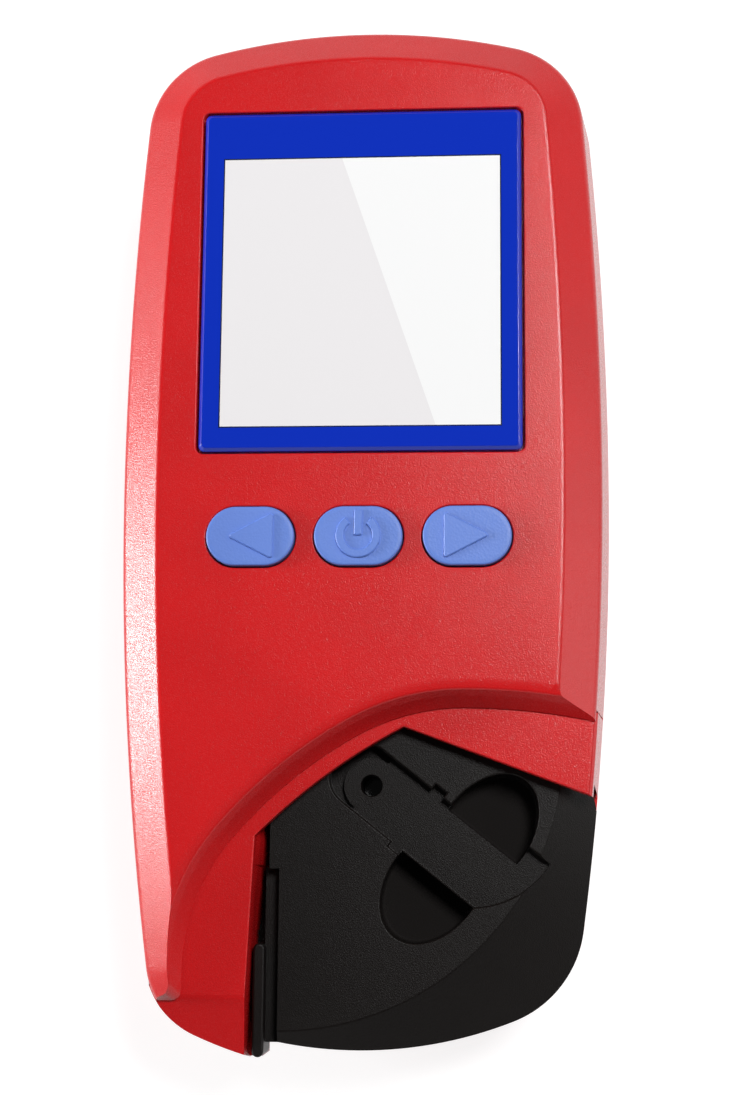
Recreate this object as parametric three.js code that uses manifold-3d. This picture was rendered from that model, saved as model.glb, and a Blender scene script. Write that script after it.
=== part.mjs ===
// A handheld hemoglobin meter lying on its back, in millimetres.
// X points right, Y points to the display end and Z points up out of the face.
// The origin is at the middle of the plan, on the surface that the rubber feet stand on.
import * as THREE from "three";
import { mergeVertices } from "three/addons/utils/BufferGeometryUtils.js";
import Module from "manifold-3d";

const wasm = await Module();
wasm.setup();

// Case: plan at the parting line and heights
const caseLength = 152.2;
const caseHalfWidth = 36.2;
const wideY = 7.5;
const sideRadiusUp = 620;
const sideRadiusDown = 490;
const topArchRadius = 95;
const topCornerRadius = 14.6;
const tipArchRadius = 58;
const tipCornerRadius = 13;
const footHeight = 0.8;
const caseHeight = 32;
const rearHeight = 16.2;
const wall = 2.4;
const gap = 0.3;
const overrun = 4;

// Front shell: bevel, shoulder and flare of the walls
const bevelInset = 7.15;
const bevelFootInset = 2.6;
const bevelDrop = 3;
const shoulderInset = 1.75;
const shoulderDrop = 3.5;
const flareInset = 1.45;
const flareDrop = 4.4;
const seamDepth = 0.35;
const seamHeight = 0.5;

// Rear case: rounding towards the flat back
const rearLowInset = 0.5;
const rearLowRise = 7.2;
const rearTurnInset = 1.6;
const rearTurnRise = 3.2;
const rearEdgeInset = 3.2;
const rearEdgeRise = 1.1;
const rearFlatInset = 6;
const floorThickness = 2.2;

// Lip: the arched lower edge of the front shell
const lipX = 15;
const lipTopFromTip = 50.9;
const lipRightRadius = 90;
const lipTopRadius = 32.6;
const lipTopTurn = THREE.MathUtils.degToRad(29);
const lipMiddleTurn = THREE.MathUtils.degToRad(50);
const lipEndRadius = 30;
const lipEndX = -26.1;
const lipEndFromTip = 10.1;
const lipEndRounding = 1.3;
const lipNose = [
  [28.3, 0],
  [29.4, 0.8],
  [30.9, 3.2],
  [33, 6.6],
];
const lipRollWidth = 1.9;
const lipRollDrop = 1.5;
const lipFootRun = 1.2;

// Lower deck and its notch
const deckDrop = 4.5;
const deckThickness = 2.2;
const deckInset = 1.3;
const deckLap = 3.5;
const deckBevelFromTip = 9.1;
const deckBevelRun = 9;
const deckBevelDrop = 4;
const notchLeftBottomX = -16.05;
const notchLeftTopX = -14.6;
const notchLeftTopFromTip = 31.2;
const notchApexX = 6.3;
const notchApexFromTip = 46.6;
const notchBulge = 1;
const notchRightX = 33.3;
const notchRightFromTip = 36.8;
const notchWall = 2;

// Tray: plan, levels and bevel
const trayEndFromTip = 1.4;
const trayArchRadius = 60;
const trayCornerRadius = 16;
const trayInset = 0.1;
const trayDraft = 0.2;
const trayDeckGap = 0.5;
const trayFloorGap = 0.6;
const trayLap = 2.5;
const trayCreaseX = -11.5;
const trayCreaseFromTip = 44.6;
const trayCreaseRadius = 40.3;
const trayBevelRun = 20;
const trayBevelFall = 11;
const trayLeftX = -12.75;
const trayStepX = -11.35;
const trayStepFromTip = 26.7;
const trayLedgeDrop = 2.6;

// Tray: thumb fin at the free end
const finLeftX = -15;
const finThickness = 1.7;
const finTopFromTip = 16.3;
const finEndFromTip = 0.6;
const finDrop = 0.8;

// Tray: cuvette slot, seen along its own length from the optical hole outwards
const slotX = 1.5;
const slotFromTip = 38.5;
const slotTurnDeg = -38;
const slotInnerEnd = -6.5;
const slotLowSide = -4.35;
const slotHighSide = 5;
const slotWideSide = 7.1;
const slotWideStart = 23;
const slotArcAlong = 13.2;
const slotArcAcross = 6;
const slotArcRadius = 13.6;
const slotDepth = 1.8;
const opticalHoleRadius = 1.5;
const collarRadius = 3.9;
const collarPocketDepth = 2.9;
const keyAlong = 8.2;
const keyWidth = 2;
const keyDepth = 0.9;
const railLowSide = -4.5;
const railHighSide = 4.1;
const lowHollowAlong = 15.6;
const lowHollowAcross = -5.3;
const lowHollowHalfLength = 6.4;
const highHollowAlong = 16.9;
const highHollowAcross = 4.9;
const highHollowHalfLength = 6.2;
const hollowHalfWidth = 9.2;
const hollowDepth = 5;

// Tray: pivot and coring under the plate
const pivotX = 29;
const pivotFromTip = 35.2;
const pivotLobeRadius = 4.5;
const pivotNeckSetback = 1.6;
const pivotSweepRadius = 5.4;
const pinRadius = 2;
const pinSeatDepth = 4;
const pinSeatClearance = 0.02;
const pinRunningClearance = 0.08;
const pinRise = 5.5;
const washerRadius = 4;
const washerThickness = 0.4;
const coreDepth = 5.4;
const coreMargin = 2.75;
const coreWidth = 9.8;
const coreLength = 18.4;
const coreFromEnd = 5.3;

// Bay under the tray
const bayFloorThickness = 1.5;
const bayTopFromTip = 49.1;
const bayLeftX = -15.6;
const bayPostRadius = 3;
const bayPostBesidePivot = 6;
const bayPostBeyondPivot = 9.9;
const bayPostFromTrayLeft = 3.75;
const bayPostFromTrayEnd = 7.2;
const bayPostInward = 11;
const bayPostFromFarEnd = 12.7;
const bayHeadRadius = 2;
const bayHeadDepth = 1;
const bayHeadSink = 0.1;
const bayScrewRadius = 0.9;
const bayScrewLength = 7;

// Optics under the tray's optical hole
const windowRadius = 3.2;
const opticsWidth = 16;
const opticsDepth = 12;
const opticsHeight = 7;
const opticsBoreRadius = 1.9;
const opticsPitch = 4.6;
const ledRadius = 1.5;
const ledHeight = 4.5;
const sensorWidth = 2;
const sensorHeight = 3.2;
const opticsBoardWidth = 24;
const opticsBoardDepth = 16;
const opticsBoardThickness = 1.2;
const opticsPadRadius = 2;
const opticsPadInset = 2.6;

// Display
const lensWidth = 46.5;
const lensFromTop = 15.6;
const lensAboveButtons = 12.45;
const lensThickness = 1.5;
const lensProud = 0.3;
const lensCorner = 0.8;
const lensChamfer = 0.45;
const borderThickness = 0.3;
const borderSide = 3.1;
const borderTop = 7.2;
const borderFoot = 3.6;
const panelSideLap = 1.85;
const panelEndLap = 2.5;
const panelThickness = 1.2;
const backlightThickness = 3;
const holderWall = 1.3;

// Buttons
const buttonPitch = 15.4;
const buttonFromLip = 22.25;
const buttonLength = 12.55;
const buttonHeight = 8.5;
const buttonProud = 0.9;
const buttonRound = 0.35;
const buttonFlange = 1;
const buttonFlangeThickness = 1;
const buttonTravel = 0.6;
const stemRadius = 2;
const stemLength = 0.5;
const symbolRise = 0.25;
const arrowLength = 6.6;
const arrowHalfWidth = 3.4;
const powerRadius = 3;
const powerLine = 0.9;
const powerBarLength = 3.6;
const powerGapDeg = 40;
const switchWidth = 6;

// Main board and what it carries
const boardFromPost = 0.8;
const boardFromTop = 6.1;
const boardFromLip = 1;
const boardThickness = 1.6;
const boardUnderFace = 8.8;
const boardCorner = 3;
const boardPostFromSide = 4;
const boardPostFromEnd = 6.5;
const boardPostRadius = 2.6;
const boardScrewRadius = 1;
const boardScrewHeadRadius = 2;
const boardScrewHeadHeight = 1.4;
const boardScrewLength = 6;
const boreClearance = 0.3;
const threadClearance = 0.05;
const processorWidth = 10;
const processorHeight = 1.4;
const processorX = -8;
const processorFromBoardTop = 30;
const driverWidth = 7;
const driverX = 10;
const driverFromBoardTop = 50;
const buzzerRadius = 6;
const buzzerHeight = 3.5;
const buzzerX = 12;
const buzzerFromBoardTop = 18;
const socketWidth = 9;
const socketHeight = 3.4;
const socketLength = 7.9;
const socketWall = 0.4;
const socketRecess = 1.2;
const socketTongueHeight = 0.8;

// Case screws
const casePostFromHolder = 1.2;
const casePostFromTop = 12.6;
const casePostFromTip = 58.1;
const casePostRadius = 2.8;
const caseBossRadius = 3.6;
const caseHeadRadius = 2.4;
const caseHeadHeight = 1.7;
const caseHeadSink = 1;
const caseScrewRadius = 1.2;
const caseScrewLength = 17;
const caseBoreExtra = 1;
const crossSlotShare = 0.7;

// Battery bay and door
const cellRadius = 5.25;
const cellLength = 43.7;
const cellRim = 0.5;
const cellNubRadius = 1.9;
const cellNubLength = 0.8;
const cellCount = 3;
const cellEndSpace = 5.2;
const bayWallThickness = 3.8;
const bayRoofThickness = 1.4;
const batteryBayFromTop = 42.1;
const doorThickness = 1.8;
const doorLap = 2;
const doorKnuckleRadius = 1.4;
const doorGripDepth = 0.6;
const doorGripWidth = 14;
const doorGripLine = 1.2;
const doorGripPitch = 2.4;
const doorGripCount = 4;
const contactThickness = 0.5;
const contactWidth = 8.4;
const contactConeRadius = 3.4;

// Flat cable between the boards
const cableWidth = 8;
const cableThickness = 0.5;
const cableX = -4;
const cableLap = 1.6;

// Rubber feet
const footRadius = 4;
const footFromDoor = 0.15;
const footFromTop = 22.1;
const footFromTip = 21.1;

// Places along the case, measured from its two ends
const topY = caseLength / 2;
const tipY = -caseLength / 2;
const lipTopY = tipY + lipTopFromTip;
const lipEndY = tipY + lipEndFromTip;
const deckBevelY = tipY + deckBevelFromTip;
const notchLeftTopY = tipY + notchLeftTopFromTip;
const notchApexY = tipY + notchApexFromTip;
const notchRightY = tipY + notchRightFromTip;
const trayEndY = tipY + trayEndFromTip;
const trayCreaseY = tipY + trayCreaseFromTip;
const trayStepY = tipY + trayStepFromTip;
const finTopY = tipY + finTopFromTip;
const finEndY = tipY + finEndFromTip;
const slotY = tipY + slotFromTip;
const pivotY = tipY + pivotFromTip;
const bayTopY = tipY + bayTopFromTip;
const footBottomY = tipY + footFromTip;
const casePostBottomY = tipY + casePostFromTip;
const buttonY = lipTopY + buttonFromLip;
const lensLowY = buttonY + lensAboveButtons;
const lensHighY = topY - lensFromTop;
const lensHeight = lensHighY - lensLowY;
const lensCentreY = (lensLowY + lensHighY) / 2;
const windowHeight = lensHeight - borderTop - borderFoot;
const windowCentreY = lensLowY + borderFoot + windowHeight / 2;
const panelHeight = windowHeight + 2 * panelEndLap;
const boardTopY = topY - boardFromTop;
const boardBottomY = lipTopY + boardFromLip;
const boardPostTopY = boardTopY - boardPostFromEnd;
const boardPostBottomY = boardBottomY + boardPostFromEnd;
const processorY = boardTopY - processorFromBoardTop;
const driverY = boardTopY - driverFromBoardTop;
const buzzerY = boardTopY - buzzerFromBoardTop;
const casePostTopY = topY - casePostFromTop;
const footTopY = topY - footFromTop;
const batteryBayCentreY = topY - batteryBayFromTop;
const socketMouthY = topY - socketRecess;
const socketBack = socketMouthY - socketLength;

// Places across the case
const windowWidth = lensWidth - 2 * borderSide;
const panelWidth = windowWidth + 2 * panelSideLap;
const trayLobeX = pivotX - pivotLobeRadius;
const coreLeftX = trayStepX + coreMargin;
const coreRightX = coreLeftX + coreWidth;
const coreEndY = trayEndY + coreFromEnd;
const coreTopY = coreEndY + coreLength;
const casePostX = panelWidth / 2 + gap + holderWall + casePostFromHolder + casePostRadius;
const boardHalfWidth = casePostX - casePostRadius - boardFromPost;
const boardPostX = boardHalfWidth - boardPostFromSide;
const cellRowHalfWidth = (cellCount * 2 * cellRadius + (cellCount + 1) * gap) / 2;
const footX = cellRowHalfWidth + doorLap + gap + footFromDoor + footRadius;
const bayPosts = [
  { name: "bay_screw_1", x: pivotX - bayPostBesidePivot, y: pivotY + bayPostBeyondPivot },
  { name: "bay_screw_2", x: trayLeftX + bayPostFromTrayLeft, y: trayEndY + bayPostFromTrayEnd },
  { name: "bay_screw_3", x: pivotX - bayPostInward, y: trayEndY + bayPostFromFarEnd },
];

// Heights worked out from the sizes above
const baseZ = footHeight;
const faceZ = footHeight + caseHeight;
const partZ = baseZ + rearHeight;
const deckZ = faceZ - deckDrop;
const innerFaceZ = faceZ - wall;
const trayTopZ = deckZ - deckThickness - trayDeckGap;
const trayBottomZ = partZ + trayFloorGap;
const boardTopZ = faceZ - boardUnderFace;
const boardBottomZ = boardTopZ - boardThickness;
const bayFloorZ = partZ - bayFloorThickness;
const floorTopZ = baseZ + floorThickness;
const skyZ = faceZ + overrun;
const bevelSlope = Math.atan2(bevelDrop, bevelInset - bevelFootInset);
const innerFootInset = bevelFootInset + wall * Math.sin(bevelSlope);
const innerFootZ = faceZ - bevelDrop - wall * Math.cos(bevelSlope);
const lapInset = innerFootInset + (deckZ - innerFootZ) / Math.tan(bevelSlope) + gap;
const tipEndY = tipY + tipArchRadius - Math.sqrt(tipArchRadius ** 2 - notchLeftBottomX ** 2);
const tipMiddleY = tipY - (tipEndY - tipY);

// Round stretches: how many straight steps each one takes
const sideSteps = 7;
const cornerSteps = 8;
const archSteps = 10;
const lipSteps = 24;
const roundSides = 20;
const smallSides = 12;

function toSolid(geometry) {
  geometry.deleteAttribute("normal");
  geometry.deleteAttribute("uv");
  const merged = mergeVertices(geometry);
  const vertProperties = new Float32Array(merged.attributes.position.array);
  const triVerts = new Uint32Array(merged.index.array);
  return new wasm.Manifold(new wasm.Mesh({ numProp: 3, vertProperties, triVerts }));
}

function toGeometry(solid) {
  const mesh = solid.getMesh();
  const geometry = new THREE.BufferGeometry();
  geometry.setAttribute("position", new THREE.BufferAttribute(new Float32Array(mesh.vertProperties), 3));
  geometry.setIndex(new THREE.BufferAttribute(new Uint32Array(mesh.triVerts), 1));
  geometry.computeVertexNormals();
  return geometry;
}

function box(x0, x1, y0, y1, z0, z1) {
  const geometry = new THREE.BoxGeometry(x1 - x0, y1 - y0, z1 - z0);
  geometry.translate((x0 + x1) / 2, (y0 + y1) / 2, (z0 + z1) / 2);
  return toSolid(geometry);
}

function cone(lowRadius, highRadius, z0, z1, x, y, sides = roundSides) {
  const geometry = new THREE.CylinderGeometry(highRadius, lowRadius, z1 - z0, sides);
  geometry.rotateX(Math.PI / 2);
  geometry.translate(x, y, (z0 + z1) / 2);
  return toSolid(geometry);
}

function cylinder(radius, z0, z1, x, y, sides = roundSides) {
  return cone(radius, radius, z0, z1, x, y, sides);
}

function prism(points, z0, z1) {
  const shape = new THREE.Shape(points.map(([x, y]) => new THREE.Vector2(x, y)));
  const geometry = new THREE.ExtrudeGeometry(shape, { depth: z1 - z0, bevelEnabled: false });
  geometry.translate(0, 0, z0);
  return toSolid(geometry);
}

// A closed solid through rings of equally many points, the lowest ring first.
function loftRings(rings) {
  const count = rings[0].length;
  const contour = rings[0].map(([x, y]) => new THREE.Vector2(x, y));
  const caps = THREE.ShapeUtils.triangulateShape(contour, []);
  const index = [];
  rings.slice(1).forEach((ring, level) => {
    for (let i = 0; i < count; i += 1) {
      const next = (i + 1) % count;
      const low = level * count;
      const high = low + count;
      index.push(low + i, low + next, high + next, low + i, high + next, high + i);
    }
  });
  const top = (rings.length - 1) * count;
  caps.forEach(([a, b, c]) => index.push(c, b, a, top + a, top + b, top + c));
  const geometry = new THREE.BufferGeometry();
  geometry.setAttribute("position", new THREE.Float32BufferAttribute(rings.flat(2), 3));
  geometry.setIndex(index);
  return toSolid(geometry);
}

function arcPoints(x, y, radius, from, to, steps) {
  return Array.from({ length: steps }, (_, i) => {
    const angle = from + ((to - from) * i) / steps;
    return [x + radius * Math.cos(angle), y + radius * Math.sin(angle)];
  });
}

// Centre of the corner arc that runs smoothly from a side arc into the arch at one end.
function cornerCentre(sideRadius, archRadius, cornerRadius, archY, end) {
  const sideX = caseHalfWidth - sideRadius;
  const reachA = sideRadius - cornerRadius;
  const reachB = archRadius - cornerRadius;
  const across = -sideX;
  const along = archY - wideY;
  const span = Math.hypot(across, along);
  const foot = (reachA ** 2 - reachB ** 2 + span ** 2) / (2 * span);
  const rise = end * Math.sqrt(reachA ** 2 - foot ** 2);
  return [
    sideX + (foot * across - rise * along) / span,
    wideY + (foot * along + rise * across) / span,
  ];
}

// The case plan: barrel sides, arched ends and round corners, all tangent to each other.
function casePlan(endY, endArchRadius, endCornerRadius) {
  const topArchY = topY - topArchRadius;
  const endArchY = endY + endArchRadius;
  const top = cornerCentre(sideRadiusUp, topArchRadius, topCornerRadius, topArchY, 1);
  const end = cornerCentre(sideRadiusDown, endArchRadius, endCornerRadius, endArchY, -1);
  const upX = caseHalfWidth - sideRadiusUp;
  const downX = caseHalfWidth - sideRadiusDown;
  const a = Math.atan2(top[1] - wideY, top[0] - upX);
  const b = Math.atan2(top[1] - topArchY, top[0]);
  const c = Math.atan2(end[1] - wideY, end[0] - downX);
  const d = Math.atan2(end[1] - endArchY, end[0]);
  const half = Math.PI;
  return [
    { x: upX, y: wideY, radius: sideRadiusUp, from: 0, to: a, steps: sideSteps },
    { x: top[0], y: top[1], radius: topCornerRadius, from: a, to: b, steps: cornerSteps },
    { x: 0, y: topArchY, radius: topArchRadius, from: b, to: half - b, steps: archSteps },
    { x: -top[0], y: top[1], radius: topCornerRadius, from: half - b, to: half - a, steps: cornerSteps },
    { x: -upX, y: wideY, radius: sideRadiusUp, from: half - a, to: half, steps: sideSteps },
    { x: -downX, y: wideY, radius: sideRadiusDown, from: half, to: half - c, steps: sideSteps },
    { x: -end[0], y: end[1], radius: endCornerRadius, from: half - c, to: half - d, steps: cornerSteps },
    { x: 0, y: endArchY, radius: endArchRadius, from: -half - d, to: d, steps: archSteps },
    { x: end[0], y: end[1], radius: endCornerRadius, from: d, to: c, steps: cornerSteps },
    { x: downX, y: wideY, radius: sideRadiusDown, from: c, to: 0, steps: sideSteps },
  ];
}

function outline(plan, inset) {
  return plan.flatMap((arc) => {
    return arcPoints(arc.x, arc.y, arc.radius - inset, arc.from, arc.to, arc.steps);
  });
}

function loft(plan, levels) {
  return loftRings(levels.map(({ inset, z }) => outline(plan, inset).map(([x, y]) => [x, y, z])));
}

// The middle arc of the lip, so that the arcs on both sides of it meet and the last one ends at lipEndX.
function lipMiddleRadius() {
  const topCos = Math.cos(Math.PI / 2 + lipTopTurn);
  const middleCos = Math.cos(Math.PI / 2 + lipMiddleTurn);
  const left = lipEndX + lipEndRadius * (1 + middleCos) - lipX - lipTopRadius * topCos;
  return left / (middleCos - topCos);
}

// The plan under the arched lip, grown towards the shell by the given amount.
function lipPoints(grow) {
  const reachX = caseHalfWidth + overrun;
  const rightAngle = Math.acos((reachX - lipX) / (lipRightRadius + grow));
  const quarter = Math.PI / 2;
  const points = arcPoints(
    lipX,
    lipTopY - lipRightRadius,
    lipRightRadius + grow,
    rightAngle,
    quarter,
    lipSteps / 2,
  );
  let centreX = lipX;
  let centreY = lipTopY - lipTopRadius;
  let radius = lipTopRadius;
  let start = quarter;
  [
    [lipTopRadius, quarter + lipTopTurn],
    [lipMiddleRadius(), quarter + lipMiddleTurn],
    [lipEndRadius, Math.PI],
  ].forEach(([nextRadius, stop]) => {
    centreX += (radius - nextRadius) * Math.cos(start);
    centreY += (radius - nextRadius) * Math.sin(start);
    radius = nextRadius;
    points.push(...arcPoints(centreX, centreY, radius + grow, start, stop, lipSteps / 3));
    start = stop;
  });
  const leftX = centreX - radius - grow;
  const endY = lipEndY + grow;
  let noseX = leftX - lipEndRounding;
  const nose = lipNose.map(([x, rise]) => {
    noseX = Math.min(noseX - gap, -x);
    return [noseX, endY + rise];
  });
  return [
    ...points,
    [leftX, endY + lipEndRounding],
    [leftX - lipEndRounding, endY],
    ...nose,
    [-reachX, nose[nose.length - 1][1]],
    [-reachX, tipY - overrun],
    [reachX, tipY - overrun],
  ];
}

function lipSolid(levels) {
  return loftRings(levels.map(({ grow, z }) => lipPoints(grow).map(([x, y]) => [x, y, z])));
}

// The notch that the deck leaves open over the tray, grown outwards by the given amount.
function notchPoints(grow) {
  const middleX = (notchLeftTopX + notchApexX) / 2;
  const middleY = (notchLeftTopY + notchApexY) / 2;
  const runX = notchApexX - notchLeftTopX;
  const runY = notchApexY - notchLeftTopY;
  const run = Math.hypot(runX, runY);
  const outX = -runY / run;
  const outY = runX / run;
  const fallX = notchRightX - notchApexX;
  const fallY = notchRightY - notchApexY;
  const fall = Math.hypot(fallX, fallY);
  const reachX = caseHalfWidth + overrun;
  const reachShare = (reachX - notchApexX) / fallX;
  const upX = -fallY / fall;
  const upY = fallX / fall;
  const bend = (outX * upX + outY * upY + 1);
  const apex = [notchApexX + (grow * (outX + upX)) / bend, notchApexY + (grow * (outY + upY)) / bend];
  const sampleShares = [0.12, 0.25, 0.38, 0.5, 0.62, 0.75, 0.88];
  const diagonal = sampleShares.map((share) => {
    const bulge = notchBulge * (1 - (2 * share - 1) ** 2) + grow;
    return [notchLeftTopX + runX * share + outX * bulge, notchLeftTopY + runY * share + outY * bulge];
  });
  return [
    [notchLeftBottomX - grow, tipY],
    [notchLeftBottomX - grow, tipY - overrun],
    [reachX, tipY - overrun],
    [reachX, notchApexY + fallY * reachShare + grow],
    apex,
    ...diagonal.reverse(),
    [notchLeftTopX - grow, notchLeftTopY],
  ];
}

function roundedRectangle(width, height, x, y, corner) {
  const right = width / 2 - corner;
  const up = height / 2 - corner;
  const quarter = Math.PI / 2;
  const steps = cornerSteps / 2;
  return [
    ...arcPoints(x + right, y + up, corner, 0, quarter, steps),
    [x + right, y + up + corner],
    ...arcPoints(x - right, y + up, corner, quarter, 2 * quarter, steps),
    [x - right - corner, y + up],
    ...arcPoints(x - right, y - up, corner, 2 * quarter, 3 * quarter, steps),
    [x - right, y - up - corner],
    ...arcPoints(x + right, y - up, corner, 3 * quarter, 4 * quarter, steps),
    [x + right + corner, y - up],
  ];
}

function stadium(length, height, x, y) {
  const radius = height / 2;
  const reach = length / 2 - radius;
  const quarter = Math.PI / 2;
  return [
    ...arcPoints(x + reach, y, radius, -quarter, quarter, roundSides / 2),
    [x + reach, y + radius],
    ...arcPoints(x - reach, y, radius, quarter, 3 * quarter, roundSides / 2),
    [x - reach, y - radius],
  ];
}

// A point of the cuvette slot, given along and across it.
function slotPoint(along, across) {
  const turn = THREE.MathUtils.degToRad(slotTurnDeg);
  const x = slotX + along * Math.cos(turn) - across * Math.sin(turn);
  const y = slotY + along * Math.sin(turn) + across * Math.cos(turn);
  return [x, y];
}

const mainPlan = casePlan(tipMiddleY, tipArchRadius, tipCornerRadius);
const trayPlan = casePlan(trayEndY, trayArchRadius, trayCornerRadius);

const caseScrewPlaces = [
  { name: "case_screw_1", x: -casePostX, y: casePostTopY },
  { name: "case_screw_2", x: casePostX, y: casePostTopY },
  { name: "case_screw_3", x: -casePostX, y: casePostBottomY },
  { name: "case_screw_4", x: casePostX, y: casePostBottomY },
];

const boardScrewPlaces = [
  { name: "board_screw_1", x: -boardPostX, y: boardPostTopY },
  { name: "board_screw_2", x: boardPostX, y: boardPostTopY },
  { name: "board_screw_3", x: -boardPostX, y: boardPostBottomY },
  { name: "board_screw_4", x: boardPostX, y: boardPostBottomY },
];

const footPlaces = [
  { name: "foot_1", x: -footX, y: footTopY },
  { name: "foot_2", x: footX, y: footTopY },
  { name: "foot_3", x: -footX, y: footBottomY },
  { name: "foot_4", x: footX, y: footBottomY },
];

const buttonPlaces = [
  { side: "left", x: -buttonPitch },
  { side: "power", x: 0 },
  { side: "right", x: buttonPitch },
];

const windowTopZ = partZ - bayHeadSink;
const opticsBottomZ = bayFloorZ - opticsHeight;
const opticsBoardZ = opticsBottomZ - opticsBoardThickness;
const socketZ = boardTopZ;
const switchTopZ = innerFaceZ - gap - buttonFlangeThickness - stemLength - buttonTravel - gap;

function frontShell() {
  const outer = loft(mainPlan, [
    { inset: 0, z: partZ },
    { inset: flareInset, z: faceZ - flareDrop },
    { inset: shoulderInset, z: faceZ - shoulderDrop },
    { inset: bevelFootInset, z: faceZ - bevelDrop },
    { inset: bevelInset, z: faceZ },
  ]);
  const inner = loft(mainPlan, [
    { inset: wall, z: partZ - overrun },
    { inset: wall, z: partZ },
    { inset: wall + flareInset, z: faceZ - flareDrop - wall / 2 },
    { inset: innerFootInset, z: innerFootZ },
    { inset: innerFootInset + (innerFaceZ - innerFootZ) / Math.tan(bevelSlope), z: innerFaceZ },
  ]);
  const lipWall = lipSolid([
    { grow: wall, z: deckZ + gap },
    { grow: wall, z: skyZ },
  ]);
  const lipCut = lipSolid([
    { grow: -lipFootRun, z: deckZ + gap },
    { grow: 0, z: faceZ - lipRollDrop },
    { grow: lipRollWidth / 3, z: faceZ - lipRollDrop / 3 },
    { grow: lipRollWidth, z: faceZ },
    { grow: lipRollWidth, z: skyZ },
  ]);
  const underLip = lipSolid([
    { grow: 0, z: partZ - overrun },
    { grow: 0, z: deckZ + gap },
  ]);
  let shell = outer.subtract(inner.subtract(lipWall));
  caseScrewPlaces.forEach(({ x, y }) => {
    shell = shell.add(cylinder(casePostRadius, partZ, faceZ, x, y).intersect(outer));
    const bore = caseScrewRadius + threadClearance;
    const boreTop = baseZ + caseHeadSink + caseHeadHeight + caseScrewLength + caseBoreExtra;
    shell = shell.subtract(cylinder(bore, partZ - overrun, boreTop, x, y, smallSides));
  });
  boardScrewPlaces.forEach(({ x, y }) => {
    shell = shell.add(cylinder(boardPostRadius, boardTopZ, faceZ, x, y).intersect(outer));
    const bore = boardScrewRadius + threadClearance;
    const boreTop = boardBottomZ + boardScrewLength + boreClearance;
    shell = shell.subtract(cylinder(bore, partZ, boreTop, x, y, smallSides));
  });
  shell = shell.subtract(lipCut).subtract(underLip);
  const recessZ = faceZ + lensProud - lensThickness - borderThickness;
  const recess = roundedRectangle(lensWidth + 2 * gap, lensHeight + 2 * gap, 0, lensCentreY, lensCorner);
  shell = shell.subtract(prism(recess, recessZ, skyZ));
  const opening = roundedRectangle(windowWidth + gap, windowHeight + gap, 0, windowCentreY, lensCorner);
  shell = shell.subtract(prism(opening, innerFaceZ - overrun, skyZ));
  buttonPlaces.forEach(({ x }) => {
    const hole = stadium(buttonLength + 2 * gap, buttonHeight + 2 * gap, x, buttonY);
    shell = shell.subtract(prism(hole, innerFaceZ - overrun, skyZ));
  });
  const half = socketWidth / 2 + gap;
  const mouth = box(-half, half, socketBack, topY + overrun, socketZ - gap, socketZ + socketHeight + gap);
  return shell.subtract(mouth);
}

function deckBevel(lower) {
  const y0 = deckBevelY;
  const y1 = deckBevelY - 2 * deckBevelRun;
  const z0 = deckZ - lower;
  const z1 = z0 - 2 * deckBevelDrop;
  const reach = caseHalfWidth + overrun;
  const side = [[y0, z0], [y1, z1], [y1, skyZ], [y0, skyZ]];
  const shape = new THREE.Shape(side.map(([y, z]) => new THREE.Vector2(y, z)));
  const geometry = new THREE.ExtrudeGeometry(shape, { depth: 2 * reach, bevelEnabled: false });
  geometry.rotateY(Math.PI / 2);
  geometry.rotateX(Math.PI / 2);
  geometry.translate(-reach, 0, 0);
  return toSolid(geometry);
}

function lowerDeck() {
  const outer = loft(mainPlan, [
    { inset: 0, z: partZ },
    { inset: deckInset, z: deckZ },
  ]);
  const inner = loft(mainPlan, [
    { inset: wall, z: partZ - overrun },
    { inset: wall, z: partZ },
    { inset: deckInset + wall, z: deckZ - deckThickness },
  ]);
  const under = lipSolid([
    { grow: -gap, z: partZ - overrun },
    { grow: -gap, z: skyZ },
  ]);
  const lap = lipSolid([
    { grow: deckLap, z: deckZ - deckThickness },
    { grow: deckLap, z: deckZ },
  ]);
  const lapPlan = prism(outline(mainPlan, lapInset), deckZ - deckThickness, deckZ);
  const keep = notchPoints(notchWall);
  const wallKeep = prism(keep, partZ - overrun, deckZ).intersect(
    box(-caseHalfWidth, notchLeftTopX, tipY - overrun, notchLeftTopY, partZ - overrun, deckZ),
  );
  const cavity = inner.subtract(wallKeep).subtract(deckBevel(deckThickness));
  const skirt = outer.subtract(cavity).intersect(under);
  const plate = lap.intersect(lapPlan);
  const notch = prism(notchPoints(0), partZ - overrun, skyZ);
  const sweep = cylinder(pivotSweepRadius, partZ - overrun, trayTopZ + gap, pivotX, pivotY);
  return skirt.add(plate).subtract(deckBevel(0)).subtract(notch).subtract(sweep);
}

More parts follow.
